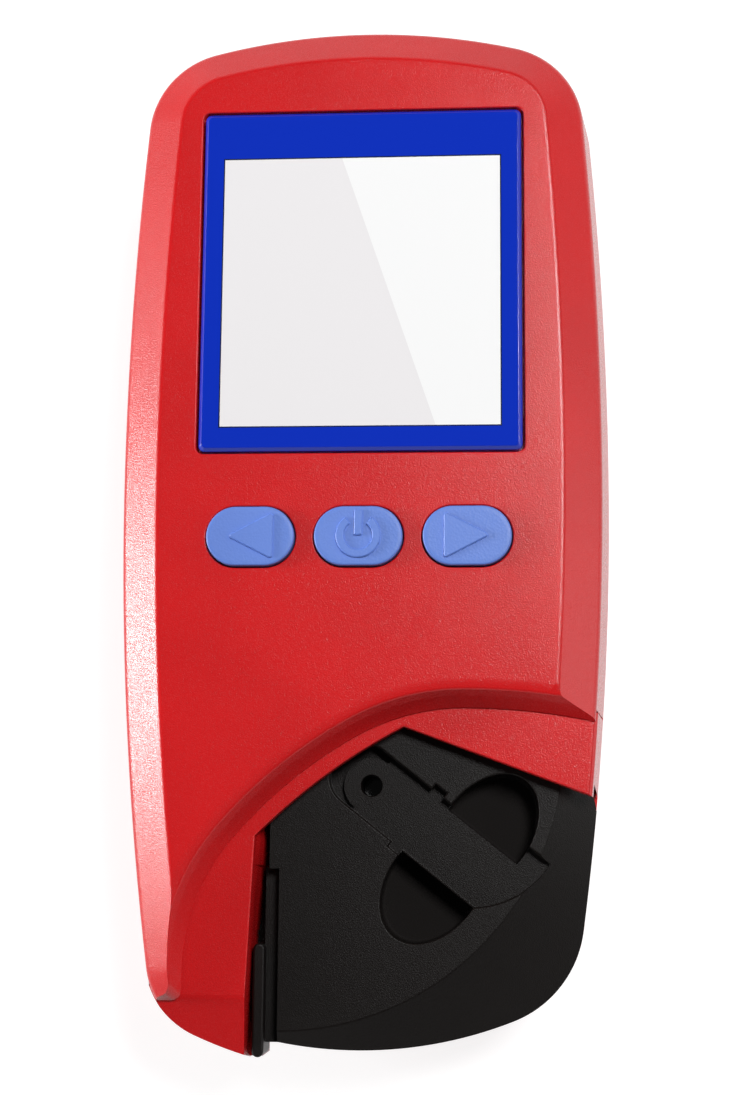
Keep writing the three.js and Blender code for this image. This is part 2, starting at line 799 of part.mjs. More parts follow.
function rearCase() {
  const outerLevels = [
    { inset: rearFlatInset, z: baseZ },
    { inset: rearEdgeInset, z: baseZ + rearEdgeRise },
    { inset: rearTurnInset, z: baseZ + rearTurnRise },
    { inset: rearLowInset, z: baseZ + rearLowRise },
    { inset: 0, z: partZ - seamHeight },
    { inset: seamDepth, z: partZ - seamHeight },
    { inset: seamDepth, z: partZ },
  ];
  const innerLevels = [
    { inset: rearEdgeInset + wall, z: floorTopZ },
    { inset: rearTurnInset + wall, z: floorTopZ + rearTurnRise },
    { inset: seamDepth + wall, z: baseZ + rearLowRise + wall },
    { inset: seamDepth + wall, z: partZ + overrun },
  ];
  const reach = caseHalfWidth + overrun;
  const farY = topY + overrun;
  const leftPart = box(-reach, notchLeftBottomX, -farY, farY, 0, skyZ);
  const rightPart = box(notchLeftBottomX, reach, -farY, farY, 0, skyZ);
  const outer = loft(mainPlan, outerLevels).intersect(leftPart);
  let shell = outer.add(loft(trayPlan, outerLevels).intersect(rightPart));
  shell = shell.subtract(loft(trayPlan, innerLevels));
  const batteryBay = batteryBayBox();
  const outerBay = box(
    batteryBay.x0 - bayWallThickness,
    batteryBay.x1 + bayWallThickness,
    batteryBay.y0 - bayWallThickness,
    batteryBay.y1 + bayWallThickness,
    baseZ,
    batteryBay.z1 + bayRoofThickness,
  );
  shell = shell.add(outerBay);
  shell = shell.subtract(
    box(batteryBay.x0, batteryBay.x1, batteryBay.y0, batteryBay.y1, 0, batteryBay.z1),
  );
  const door = doorBox();
  shell = shell.subtract(
    box(door.x0 - gap, door.x1 + gap, door.y0 - gap, door.y1 + gap, 0, baseZ + doorThickness + gap),
  );
  const knuckleY = door.y0 + 2 * doorKnuckleRadius + gap;
  const knuckleZ = baseZ + 2 * doorKnuckleRadius + gap;
  shell = shell.subtract(box(door.x0 - gap, door.x1 + gap, door.y0 - gap, knuckleY, 0, knuckleZ));
  caseScrewPlaces.forEach(({ x, y }) => {
    const seatZ = baseZ + caseHeadSink + caseHeadHeight;
    const boss = cylinder(caseBossRadius, baseZ, partZ, x, y);
    shell = shell.add(boss.intersect(loft(mainPlan, outerLevels)));
    const bore = caseScrewRadius + boreClearance;
    shell = shell.subtract(cylinder(bore, 0, partZ + overrun, x, y, smallSides));
    shell = shell.subtract(cylinder(caseHeadRadius + gap, 0, seatZ, x, y));
  });
  bayPosts.forEach(({ x, y }) => {
    shell = shell.add(cylinder(bayPostRadius, floorTopZ - gap, bayFloorZ, x, y));
    const bore = bayScrewRadius + threadClearance;
    const boreZ = partZ - bayHeadSink - bayScrewLength - gap;
    shell = shell.subtract(cylinder(bore, boreZ, partZ + overrun, x, y, smallSides));
  });
  opticsPads().forEach(([x, y]) => {
    shell = shell.add(cylinder(opticsPadRadius, floorTopZ - gap, opticsBoardZ, x, y, smallSides));
  });
  shell = shell.add(cylinder(pivotLobeRadius, floorTopZ - gap, bayFloorZ, pivotX, pivotY)
    .intersect(loft(trayPlan, outerLevels)));
  const seat = pinRadius + pinSeatClearance;
  return shell.subtract(cylinder(seat, bayFloorZ - pinSeatDepth, skyZ, pivotX, pivotY));
}

function opticsPads() {
  const halfX = opticsBoardWidth / 2 - opticsPadInset;
  const halfY = opticsBoardDepth / 2 - opticsPadInset;
  return [
    [slotX - halfX, slotY - halfY],
    [slotX + halfX, slotY - halfY],
    [slotX - halfX, slotY + halfY],
    [slotX + halfX, slotY + halfY],
  ];
}

function batteryBayBox() {
  const halfX = cellRowHalfWidth;
  const halfY = (cellLength + cellNubLength + 2 * cellEndSpace) / 2;
  const z0 = baseZ + doorThickness + gap;
  return {
    x0: -halfX,
    x1: halfX,
    y0: batteryBayCentreY - halfY,
    y1: batteryBayCentreY + halfY,
    z0,
    z1: z0 + 2 * cellRadius + 2 * gap,
  };
}

function doorBox() {
  const bay = batteryBayBox();
  return { x0: bay.x0 - doorLap, x1: bay.x1 + doorLap, y0: bay.y0 - doorLap, y1: bay.y1 + doorLap };
}

function batteryDoor() {
  const door = doorBox();
  const axisY = door.y0 + doorKnuckleRadius;
  const axisZ = baseZ + doorKnuckleRadius;
  const plate = box(door.x0, door.x1, axisY, door.y1, baseZ, baseZ + doorThickness);
  const knuckle = new THREE.CylinderGeometry(
    doorKnuckleRadius,
    doorKnuckleRadius,
    door.x1 - door.x0,
    roundSides,
  );
  knuckle.rotateZ(Math.PI / 2);
  knuckle.translate(0, axisY, axisZ);
  let solid = plate.add(toSolid(knuckle));
  for (let i = 1; i <= doorGripCount; i += 1) {
    const y = door.y1 - doorGripPitch * i;
    const half = doorGripWidth / 2;
    solid = solid.subtract(box(-half, half, y - doorGripLine, y, 0, baseZ + doorGripDepth));
  }
  return solid;
}

function cellPlace(i) {
  const bay = batteryBayBox();
  const x = bay.x0 + gap + cellRadius + i * (2 * cellRadius + gap);
  return { x, z: bay.z0 + gap + cellRadius, flip: i % 2 === 1 };
}

function cell(i) {
  const { x, z, flip } = cellPlace(i);
  const length = cellLength + cellNubLength;
  const start = -length / 2;
  const rim = cellRim;
  const profile = [
    [0, start],
    [cellRadius - rim, start],
    [cellRadius, start + rim],
    [cellRadius, start + cellLength - rim],
    [cellRadius - rim, start + cellLength],
    [cellNubRadius, start + cellLength],
    [cellNubRadius, start + length],
    [0, start + length],
  ];
  const geometry = new THREE.LatheGeometry(profile.map(([r, y]) => new THREE.Vector2(r, y)), roundSides);
  if (flip) {
    geometry.rotateZ(Math.PI);
  }
  geometry.translate(x, batteryBayCentreY, z);
  return toSolid(geometry);
}

// A contact strip on one end wall of the bay, with one raised contact for each cell it meets.
function contact(end, cells) {
  const bay = batteryBayBox();
  const wallY = end > 0 ? bay.y1 : bay.y0;
  const halfWidth = contactWidth / 2;
  const first = cellPlace(cells[0]);
  const last = cellPlace(cells[cells.length - 1]);
  const y0 = Math.min(wallY, wallY - end * contactThickness);
  const y1 = Math.max(wallY, wallY - end * contactThickness);
  let strip = box(first.x - halfWidth, last.x + halfWidth, y0, y1, first.z - halfWidth, first.z + halfWidth);
  cells.forEach((i) => {
    const { x, z } = cellPlace(i);
    const reach = cellEndSpace - gap;
    const geometry = new THREE.CylinderGeometry(cellNubRadius, contactConeRadius, reach, smallSides);
    if (end > 0) {
      geometry.rotateX(Math.PI);
    }
    geometry.translate(x, wallY - (end * reach) / 2, z);
    strip = strip.add(toSolid(geometry));
  });
  return strip;
}

function bayFloor() {
  const plan = prism(outline(trayPlan, seamDepth + wall + gap), bayFloorZ, partZ);
  const reach = caseHalfWidth + overrun;
  let plate = plan.intersect(box(bayLeftX, reach, tipY - overrun, bayTopY, 0, skyZ));
  plate = plate.subtract(cylinder(pinRadius + pinSeatClearance, 0, skyZ, pivotX, pivotY));
  plate = plate.subtract(cylinder(windowRadius + gap, 0, skyZ, slotX, slotY));
  bayPosts.forEach(({ x, y }) => {
    const headZ = partZ - bayHeadSink - bayHeadDepth;
    plate = plate.subtract(cylinder(bayScrewRadius + boreClearance, 0, skyZ, x, y, smallSides));
    plate = plate.subtract(cylinder(bayHeadRadius + gap, headZ, skyZ, x, y));
  });
  return plate;
}

function bayScrew({ x, y }) {
  const topZ = partZ - bayHeadSink;
  const head = cylinder(bayHeadRadius, topZ - bayHeadDepth, topZ, x, y);
  const shank = cylinder(bayScrewRadius, topZ - bayScrewLength, topZ - bayHeadDepth / 2, x, y, smallSides);
  const slot = box(x - bayHeadRadius, x + bayHeadRadius, y - gap, y + gap, topZ - bayHeadDepth / 2, skyZ);
  return head.add(shank).subtract(slot);
}

function trayRegion() {
  const under = notchPoints(trayLap);
  const reach = caseHalfWidth + overrun;
  const left = prism(under, trayBottomZ - overrun, skyZ)
    .intersect(box(trayLeftX, trayLobeX, tipY - overrun, topY, 0, skyZ));
  const right = box(trayLobeX - gap, reach, tipY - overrun, pivotY, 0, skyZ);
  const lobe = cylinder(pivotLobeRadius, 0, skyZ, pivotX, pivotY, 2 * roundSides);
  const step = box(trayLeftX - overrun, trayStepX, tipY - overrun, trayStepY, 0, skyZ);
  const neck = prism(under, trayBottomZ - overrun, skyZ)
    .intersect(box(trayLobeX - gap, pivotX - pivotNeckSetback, pivotY - gap, topY, 0, skyZ));
  return left.subtract(step).add(right).add(lobe).add(neck);
}

function slotOutline() {
  const arcStart = Math.asin((slotLowSide - slotArcAcross) / slotArcRadius);
  const arcEnd = Math.asin((slotWideSide - slotArcAcross) / slotArcRadius);
  const outer = arcPoints(slotArcAlong, slotArcAcross, slotArcRadius, arcStart, arcEnd, cornerSteps);
  const middle = (slotLowSide + slotHighSide) / 2;
  const endRadius = (slotHighSide - slotLowSide) / 2;
  const quarter = Math.PI / 2;
  const inner = arcPoints(slotInnerEnd + endRadius, middle, endRadius, quarter, 3 * quarter, cornerSteps);
  const points = [
    ...outer,
    [slotArcAlong + slotArcRadius * Math.cos(arcEnd), slotWideSide],
    [slotWideStart, slotWideSide],
    [slotWideStart, slotHighSide],
    ...inner,
    [slotInnerEnd + endRadius, slotLowSide],
  ];
  return points.map(([along, across]) => slotPoint(along, across));
}

function hollow(along, across, halfLength, fromAcross, toAcross) {
  const ring = arcPoints(0, 0, 1, 0, 2 * Math.PI, 2 * roundSides);
  const ellipse = ring.map(([x, y]) => slotPoint(along + halfLength * x, across + hollowHalfWidth * y));
  const near = along - 2 * halfLength;
  const far = along + 2 * halfLength;
  const band = [
    slotPoint(near, fromAcross),
    slotPoint(far, fromAcross),
    slotPoint(far, toAcross),
    slotPoint(near, toAcross),
  ];
  const z0 = trayTopZ - hollowDepth;
  return prism(ellipse, z0, skyZ).intersect(prism(band, z0, skyZ));
}

function cuvetteTray() {
  const block = loft(trayPlan, [
    { inset: trayInset, z: trayBottomZ },
    { inset: trayInset + trayDraft, z: trayTopZ },
  ]);
  const profile = [
    [0, trayBottomZ - overrun],
    [trayCreaseRadius + trayBevelRun, trayBottomZ - overrun],
    [trayCreaseRadius + trayBevelRun, trayTopZ - trayBevelFall],
    [trayCreaseRadius, trayTopZ],
    [0, trayTopZ],
  ];
  const crown = new THREE.LatheGeometry(profile.map(([r, z]) => new THREE.Vector2(r, z)), 4 * roundSides);
  crown.rotateX(Math.PI / 2);
  crown.translate(trayCreaseX, trayCreaseY, 0);
  let tray = block.intersect(trayRegion()).intersect(toSolid(crown));
  const finX = finLeftX + finThickness;
  const finMiddleX = finLeftX + finThickness / 2;
  const finReach = finTopY - finEndY;
  const fin = prism(
    stadium(finReach, finThickness, 0, 0).map(([x, y]) => [finMiddleX - y, finTopY - finReach / 2 + x]),
    trayBottomZ,
    trayTopZ - finDrop,
  );
  const ledgeZ = trayTopZ - trayLedgeDrop;
  const ledge = block.intersect(box(finX - gap, trayStepX + gap, trayEndY, trayStepY + gap, 0, ledgeZ));
  tray = tray.add(ledge).add(fin);
  tray = tray.subtract(prism(slotOutline(), trayTopZ - slotDepth, skyZ));
  const keyLow = slotLowSide - keyDepth;
  const keyHigh = slotHighSide + keyDepth;
  const key = [
    slotPoint(keyAlong - keyWidth / 2, keyLow),
    slotPoint(keyAlong + keyWidth / 2, keyLow),
    slotPoint(keyAlong + keyWidth / 2, keyHigh),
    slotPoint(keyAlong - keyWidth / 2, keyHigh),
  ];
  tray = tray.subtract(prism(key, trayTopZ - slotDepth, skyZ));
  const pocketZ = trayTopZ - collarPocketDepth;
  const pocket = prism(slotOutline(), pocketZ, trayTopZ).intersect(
    prism(
      [
        slotPoint(slotInnerEnd - overrun, slotLowSide),
        slotPoint(0, slotLowSide),
        slotPoint(0, slotHighSide),
        slotPoint(slotInnerEnd - overrun, slotHighSide),
      ],
      pocketZ,
      trayTopZ,
    ),
  );
  tray = tray.subtract(pocket.subtract(cylinder(collarRadius, 0, skyZ, slotX, slotY, 2 * roundSides)));
  tray = tray.subtract(cylinder(opticalHoleRadius, 0, skyZ, slotX, slotY));
  const farSide = hollowHalfWidth * 2;
  tray = tray.subtract(
    hollow(lowHollowAlong, lowHollowAcross, lowHollowHalfLength, -farSide, railLowSide),
  );
  tray = tray.subtract(
    hollow(highHollowAlong, highHollowAcross, highHollowHalfLength, railHighSide, farSide),
  );
  const coring = roundedRectangle(
    coreRightX - coreLeftX,
    coreTopY - coreEndY,
    (coreLeftX + coreRightX) / 2,
    (coreTopY + coreEndY) / 2,
    lensCorner,
  );
  tray = tray.subtract(prism(coring, 0, trayBottomZ + coreDepth));
  const bore = pinRadius + pinRunningClearance;
  return tray.subtract(cylinder(bore, 0, partZ + pinRise + gap, pivotX, pivotY));
}

function pivotPin() {
  return cylinder(pinRadius, bayFloorZ - pinSeatDepth, partZ + pinRise, pivotX, pivotY);
}

function pivotWasher() {
  const ring = cylinder(washerRadius, partZ, partZ + washerThickness, pivotX, pivotY);
  return ring.subtract(cylinder(pinRadius + pinRunningClearance, 0, skyZ, pivotX, pivotY));
}

function opticalBlock() {
  const halfX = opticsWidth / 2;
  const halfY = opticsDepth / 2;
  const x = slotX;
  const y = slotY;
  let block = box(x - halfX, x + halfX, y - halfY, y + halfY, opticsBottomZ, bayFloorZ);
  [-1, 1].forEach((side) => {
    const boreX = x + (side * opticsPitch) / 2;
    block = block.subtract(cylinder(opticsBoreRadius, 0, skyZ, boreX, y, roundSides));
  });
  return block;
}

function opticsBoard() {
  const halfX = opticsBoardWidth / 2;
  const halfY = opticsBoardDepth / 2;
  return box(slotX - halfX, slotX + halfX, slotY - halfY, slotY + halfY, opticsBoardZ, opticsBottomZ);
}

function mainBoard() {
  const centreY = (boardTopY + boardBottomY) / 2;
  const plan = roundedRectangle(2 * boardHalfWidth, boardTopY - boardBottomY, 0, centreY, boardCorner);
  let board = prism(plan, boardBottomZ, boardTopZ);
  boardScrewPlaces.forEach(({ x, y }) => {
    board = board.subtract(cylinder(boardScrewRadius + boreClearance, 0, skyZ, x, y, smallSides));
  });
  return board;
}

function boardScrew({ x, y }) {
  const headZ = boardBottomZ - boardScrewHeadHeight;
  const head = cylinder(boardScrewHeadRadius, headZ, boardBottomZ, x, y);
  const shank = cylinder(boardScrewRadius, headZ, boardBottomZ + boardScrewLength, x, y, smallSides);
  const slotZ = headZ + boardScrewHeadHeight / 2;
  const slot = box(x - boardScrewHeadRadius, x + boardScrewHeadRadius, y - gap, y + gap, 0, slotZ);
  return head.add(shank).subtract(slot);
}

function caseScrew({ x, y }) {
  const headZ = baseZ + caseHeadSink;
  const seatZ = headZ + caseHeadHeight;
  const head = cylinder(caseHeadRadius, headZ, seatZ, x, y);
  const shank = cylinder(caseScrewRadius, headZ, seatZ + caseScrewLength, x, y, smallSides);
  const half = caseHeadRadius * crossSlotShare;
  const slotZ = headZ + caseHeadHeight / 2;
  const across = box(x - half, x + half, y - gap, y + gap, 0, slotZ);
  const along = box(x - gap, x + gap, y - half, y + half, 0, slotZ);
  return head.add(shank).subtract(across).subtract(along);
}

function displayLens() {
  const lowZ = faceZ + lensProud - lensThickness;
  const highZ = faceZ + lensProud;
  const rings = [
    { shrink: 0, z: lowZ },
    { shrink: 0, z: highZ - lensChamfer },
    { shrink: lensChamfer, z: highZ },
  ];
  return loftRings(rings.map(({ shrink, z }) => {
    const width = lensWidth - 2 * shrink;
    const height = lensHeight - 2 * shrink;
    return roundedRectangle(width, height, 0, lensCentreY, lensCorner).map(([x, y]) => [x, y, z]);
  }));
}

function displayBorder() {
  const highZ = faceZ + lensProud - lensThickness;
  const sheet = prism(
    roundedRectangle(lensWidth, lensHeight, 0, lensCentreY, lensCorner),
    highZ - borderThickness,
    highZ,
  );
  const half = windowWidth / 2;
  const y0 = windowCentreY - windowHeight / 2;
  return sheet.subtract(box(-half, half, y0, y0 + windowHeight, 0, skyZ));
}

const panelTopZ = innerFaceZ;
const panelBottomZ = panelTopZ - panelThickness;
const backlightBottomZ = panelBottomZ - backlightThickness;

function displaySlab(z0, z1) {
  const half = panelWidth / 2;
  const halfHeight = panelHeight / 2;
  return box(-half, half, windowCentreY - halfHeight, windowCentreY + halfHeight, z0, z1);
}

function displayHolder() {
  const halfX = panelWidth / 2 + gap;
  const halfY = panelHeight / 2 + gap;
  const y = windowCentreY;
  const w = holderWall;
  const topZ = innerFaceZ - gap;
  const outer = box(-halfX - w, halfX + w, y - halfY - w, y + halfY + w, boardTopZ, topZ);
  return outer.subtract(box(-halfX, halfX, y - halfY, y + halfY, backlightBottomZ, skyZ));
}

function arrowShape(x, direction) {
  const half = arrowLength / 2;
  return [
    [x + direction * half, buttonY],
    [x - direction * half, buttonY + direction * arrowHalfWidth],
    [x - direction * half, buttonY - direction * arrowHalfWidth],
  ];
}

function powerSymbol(z0, z1) {
  const ring = cylinder(powerRadius, z0, z1, 0, buttonY);
  const open = ring.subtract(cylinder(powerRadius - powerLine, 0, skyZ, 0, buttonY));
  const cutHalf = powerRadius * Math.sin(THREE.MathUtils.degToRad(powerGapDeg));
  const cut = box(-cutHalf, cutHalf, buttonY, buttonY + 2 * powerRadius, 0, skyZ);
  const barHalf = powerLine / 2;
  const bar = box(-barHalf, barHalf, buttonY, buttonY + powerBarLength, z0, z1);
  return open.subtract(cut).add(bar);
}

function button({ side, x }) {
  const capZ = faceZ + buttonProud;
  const flangeZ = innerFaceZ - gap;
  const bottomZ = flangeZ - buttonFlangeThickness;
  const levels = [
    { shrink: 0, z: bottomZ },
    { shrink: 0, z: capZ - buttonRound },
    { shrink: buttonRound, z: capZ },
  ];
  const cap = loftRings(levels.map(({ shrink, z }) => {
    const points = stadium(buttonLength - 2 * shrink, buttonHeight - 2 * shrink, x, buttonY);
    return points.map(([px, py]) => [px, py, z]);
  }));
  const flangePlan = stadium(buttonLength + 2 * buttonFlange, buttonHeight + 2 * buttonFlange, x, buttonY);
  const flange = prism(flangePlan, bottomZ, flangeZ);
  const stem = cylinder(stemRadius, bottomZ - stemLength, bottomZ + stemLength, x, buttonY);
  const symbolZ = capZ - symbolRise;
  const topZ = capZ + symbolRise;
  const direction = side === "left" ? -1 : 1;
  const arrow = prism(arrowShape(x, direction), symbolZ, topZ);
  const symbol = side === "power" ? powerSymbol(symbolZ, topZ) : arrow;
  return cap.add(flange).add(stem).add(symbol);
}

function pushSwitch({ x }) {
  const half = switchWidth / 2;
  const bodyTopZ = switchTopZ - gap;
  const body = box(x - half, x + half, buttonY - half, buttonY + half, boardTopZ, bodyTopZ);
  return body.add(cylinder(stemRadius, bodyTopZ - gap, switchTopZ, x, buttonY, smallSides));
}

function chip(x, y, width, height) {
  const half = width / 2;
  return box(x - half, x + half, y - half, y + half, boardBottomZ - height, boardBottomZ);
}

function dataSocket() {
  const half = socketWidth / 2;
  const z1 = socketZ + socketHeight;
  const outer = box(-half, half, socketBack, socketMouthY, socketZ, z1);
  const w = socketWall;
  const mouth = box(-half + w, half - w, socketBack + w, socketMouthY + overrun, socketZ + w, z1 - w);
  const middleZ = (socketZ + z1) / 2;
  const tongueHalf = half - 4 * w;
  const tongueZ = middleZ - socketTongueHeight / 2;
  const tongue = box(
    -tongueHalf,
    tongueHalf,
    socketBack,
    socketMouthY - 2 * w,
    tongueZ,
    tongueZ + socketTongueHeight,
  );
  return outer.subtract(mouth).add(tongue);
}

// The flat cable drops from the main board's end and runs over the optics board's near edge.
function sensorCable() {
  const nearY = boardBottomY - gap - cableThickness;
  const farY = slotY + opticsBoardDepth / 2 - cableLap;
  const lowZ = opticsBottomZ;
  const highZ = boardTopZ;
  const half = cableWidth / 2;
  const drop = box(cableX - half, cableX + half, nearY, nearY + cableThickness, lowZ, highZ);
  const run = box(cableX - half, cableX + half, farY, nearY + cableThickness, lowZ, lowZ + cableThickness);
  return drop.add(run);
}

function foot({ x, y }) {
  return cone(footRadius - footHeight / 2, footRadius, 0, baseZ, x, y);
}

const finishes = {
  redPlastic: { color: 0xc4262b, roughness: 0.45, metalness: 0 },
  bluePrint: { color: 0x1a3fae, roughness: 0.25, metalness: 0 },
  clearLens: { color: 0xf4f4f6, roughness: 0.08, metalness: 0 },
  displayGrey: { color: 0xe9e8ea, roughness: 0.3, metalness: 0 },
  blueCap: { color: 0x6788d6, roughness: 0.5, metalness: 0 },
  blackPlastic: { color: 0x262423, roughness: 0.65, metalness: 0 },
  greenBoard: { color: 0x1f6b3a, roughness: 0.5, metalness: 0 },
  whitePlastic: { color: 0xe8e8e4, roughness: 0.5, metalness: 0 },
  steel: { color: 0xb8babd, roughness: 0.3, metalness: 1 },
  rubber: { color: 0x1c1c1c, roughness: 0.9, metalness: 0 },
  cellWrap: { color: 0x4a5a6a, roughness: 0.35, metalness: 0.2 },
};

const group = new THREE.Group();

function place(name, solid, finish) {
  const material = new THREE.MeshStandardMaterial(finishes[finish]);
  const mesh = new THREE.Mesh(toGeometry(solid), material);
  mesh.name = name;
  group.add(mesh);
}

place("front_shell", frontShell(), "redPlastic");
place("lower_deck", lowerDeck(), "redPlastic");
place("rear_case", rearCase(), "redPlastic");
place("display_lens", displayLens(), "clearLens");
place("display_border", displayBorder(), "bluePrint");
place("display_panel", displaySlab(panelBottomZ, panelTopZ), "displayGrey");
place("backlight", displaySlab(backlightBottomZ, panelBottomZ), "whitePlastic");
place("display_holder", displayHolder(), "whitePlastic");
place("main_board", mainBoard(), "greenBoard");
place("processor", chip(processorX, processorY, processorWidth, processorHeight), "blackPlastic");
place("display_driver", chip(driverX, driverY, driverWidth, processorHeight), "blackPlastic");
const buzzerZ = boardBottomZ - buzzerHeight;
place("buzzer", cylinder(buzzerRadius, buzzerZ, boardBottomZ, buzzerX, buzzerY), "blackPlastic");
place("data_socket", dataSocket(), "steel");
buttonPlaces.forEach((spot) => {
  place(`button_${spot.side}`, button(spot), "blueCap");
  place(`switch_${spot.side}`, pushSwitch(spot), "blackPlastic");
});
boardScrewPlaces.forEach((spot) => place(spot.name, boardScrew(spot), "steel"));
caseScrewPlaces.forEach((spot) => place(spot.name, caseScrew(spot), "steel"));
bayPosts.forEach((spot) => place(spot.name, bayScrew(spot), "steel"));
footPlaces.forEach((spot) => place(spot.name, foot(spot), "rubber"));
place("battery_door", batteryDoor(), "redPlastic");
for (let i = 0; i < cellCount; i += 1) {
  place(`battery_${i + 1}`, cell(i), "cellWrap");
}
place("contact_front_pair", contact(1, [0, 1]), "steel");
place("contact_front_single", contact(1, [2]), "steel");
place("contact_rear_single", contact(-1, [0]), "steel");
place("contact_rear_pair", contact(-1, [1, 2]), "steel");
place("cuvette_tray", cuvetteTray(), "blackPlastic");
place("tray_pivot_pin", pivotPin(), "steel");
place("tray_washer", pivotWasher(), "steel");
place("bay_floor", bayFloor(), "blackPlastic");
place("optical_block", opticalBlock(), "blackPlastic");
place("optical_window", cylinder(windowRadius, bayFloorZ, windowTopZ, slotX, slotY), "clearLens");
const ledX = slotX - opticsPitch / 2;
const sensorX = slotX + opticsPitch / 2;
const ledTopZ = opticsBottomZ + ledHeight;
place("light_source", cylinder(ledRadius, opticsBottomZ, ledTopZ, ledX, slotY), "clearLens");
const sensorHalf = sensorWidth / 2;
const sensorBox = box(
  sensorX - sensorHalf,
  sensorX + sensorHalf,
  slotY - sensorHalf,
  slotY + sensorHalf,
  opticsBottomZ,
  opticsBottomZ + sensorHeight,
);
place("light_sensor", sensorBox, "blackPlastic");
place("optics_board", opticsBoard(), "greenBoard");
place("sensor_cable", sensorCable(), "whitePlastic");

export default group;
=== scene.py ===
import math

import bmesh
import bpy
from mathutils import Matrix, Vector


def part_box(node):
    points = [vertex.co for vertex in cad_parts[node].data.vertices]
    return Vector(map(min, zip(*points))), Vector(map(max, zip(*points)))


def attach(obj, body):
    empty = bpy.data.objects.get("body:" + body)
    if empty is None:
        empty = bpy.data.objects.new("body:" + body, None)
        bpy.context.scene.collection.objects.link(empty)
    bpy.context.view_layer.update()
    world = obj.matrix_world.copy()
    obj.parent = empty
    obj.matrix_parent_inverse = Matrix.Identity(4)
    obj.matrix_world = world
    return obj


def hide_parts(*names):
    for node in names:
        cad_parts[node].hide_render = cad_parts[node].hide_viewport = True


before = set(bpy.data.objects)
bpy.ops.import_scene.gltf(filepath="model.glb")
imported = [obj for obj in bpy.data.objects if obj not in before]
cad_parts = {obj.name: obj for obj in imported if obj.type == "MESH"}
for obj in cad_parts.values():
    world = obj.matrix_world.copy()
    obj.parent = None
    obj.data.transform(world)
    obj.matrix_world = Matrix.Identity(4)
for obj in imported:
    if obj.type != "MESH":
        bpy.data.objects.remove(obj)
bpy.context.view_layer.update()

# shapes are drawn in millimetres and brought to metres once they are done
mm = 0.001
quarter = math.pi / 2


def nodeBox(name):
    low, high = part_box(name)
    return [v / mm for v in low], [v / mm for v in high]


def middleOf(name):
    low, high = nodeBox(name)
    return (low[0] + high[0]) / 2, (low[1] + high[1]) / 2


def addObject(name, data):
    thing = bpy.data.objects.new(name, data)
    bpy.context.scene.collection.objects.link(thing)
    return thing


shellLow, shellHigh = nodeBox("front_shell")
trayLow, trayHigh = nodeBox("cuvette_tray")
lensLow, lensHigh = nodeBox("display_lens")

halfWidth = shellHigh[0]
topY = shellHigh[1]
tipY = -topY
faceZ = shellHigh[2]
partZ = shellLow[2]
deckZ = nodeBox("lower_deck")[1][2]
trayTopZ = trayHigh[2]
trayBottomZ = trayLow[2]
wall = 2.4
gap = 0.3
reach = halfWidth + 4  # beyond the sides
skyZ = faceZ + 4  # above the face


# Camera at the photo's viewing angle

cameraSettings = {
    # the three angles are in radians
    "azimuth": 0.075,
    "elevation": 0.17,
    "roll": 0.009,
    "distance": 268.7,
    "aimX": 0.95,
    "aimY": -4.55,
    "focalPixels": 1900,
    "imageHeight": 1095,
    "sensor": 36,
    "clip": (0.01, 10),
}


def makeCamera(s):
    data = bpy.data.cameras.new("photoCamera")
    data.sensor_width = s["sensor"]
    data.lens = s["focalPixels"] / s["imageHeight"] * s["sensor"]
    data.clip_start, data.clip_end = s["clip"]
    back = Vector((math.tan(s["azimuth"]), -math.tan(s["elevation"]), 1)).normalized()
    right = Vector((0, 1, 0)).cross(back).normalized()
    up = back.cross(right)
    turn = Matrix((right, up, back)).transposed() @ Matrix.Rotation(s["roll"], 3, "Z")
    aim = Vector((s["aimX"], s["aimY"], faceZ)) * mm
    camera = addObject("photoCamera", data)
    camera.matrix_world = Matrix.Translation(aim + back * s["distance"] * mm) @ turn.to_4x4()
    bpy.context.scene.camera = camera


makeCamera(cameraSettings)
print("camera placed")


# Outlines and solids that the pieces are made from

def arc(x, y, radius, start, stop, steps):
    turns = [start + (stop - start) * i / steps for i in range(steps)]
    return [(x + radius * math.cos(a), y + radius * math.sin(a)) for a in turns]


def wholeArc(x, y, radius, start, stop, steps):
    # an arc with its last point
    end = (x + radius * math.cos(stop), y + radius * math.sin(stop))
    return [*arc(x, y, radius, start, stop, steps), end]


def roundedLine(corners, steps=6):
    # corners are (a, b, radius); a radius of 0 leaves the corner sharp
    line = []
    for i, (a, b, radius) in enumerate(corners):
        here = Vector((a, b))
        if radius == 0 or i in (0, len(corners) - 1):
            line.append((a, b))
            continue
        u = (Vector(corners[i - 1][:2]) - here).normalized()
        v = (Vector(corners[i + 1][:2]) - here).normalized()
        half = u.angle(v) / 2
        centre = here + (u + v).normalized() * radius / math.sin(half)
        start = here + u * radius / math.tan(half) - centre
        stop = here + v * radius / math.tan(half) - centre
        first = math.atan2(start.y, start.x)
        last = math.atan2(stop.y, stop.x)
        sweep = (last - first + math.pi) % math.tau - math.pi
        line += wholeArc(centre.x, centre.y, radius, first, first + sweep, steps)
    return line


def grown(points, amount):
    # moves every side of an anticlockwise outline outwards
    out = []
    count = len(points)
    for i in range(count):
        a, b, c = (Vector(points[(i + k) % count]) for k in (-1, 0, 1))
        p = (b - a).normalized()
        q = (c - b).normalized()
        n = Vector((p.y + q.y, -p.x - q.x)) / (1 + p.dot(q))
        out.append(tuple(b + n * amount))
    return out


def loft(name, rings):
    # rings are (outline, height), lowest first, each with as many points as the others
    shape = bmesh.new()
    made = [[shape.verts.new((x, y, z)) for x, y in points] for points, z in rings]
    for low, high in zip(made, made[1:]):
        for i in range(len(low)):
            k = (i + 1) % len(low)
            shape.faces.new((low[i], low[k], high[k], high[i]))
    shape.faces.new(list(reversed(made[0])))
    shape.faces.new(made[-1])
    return finishShape(name, shape)


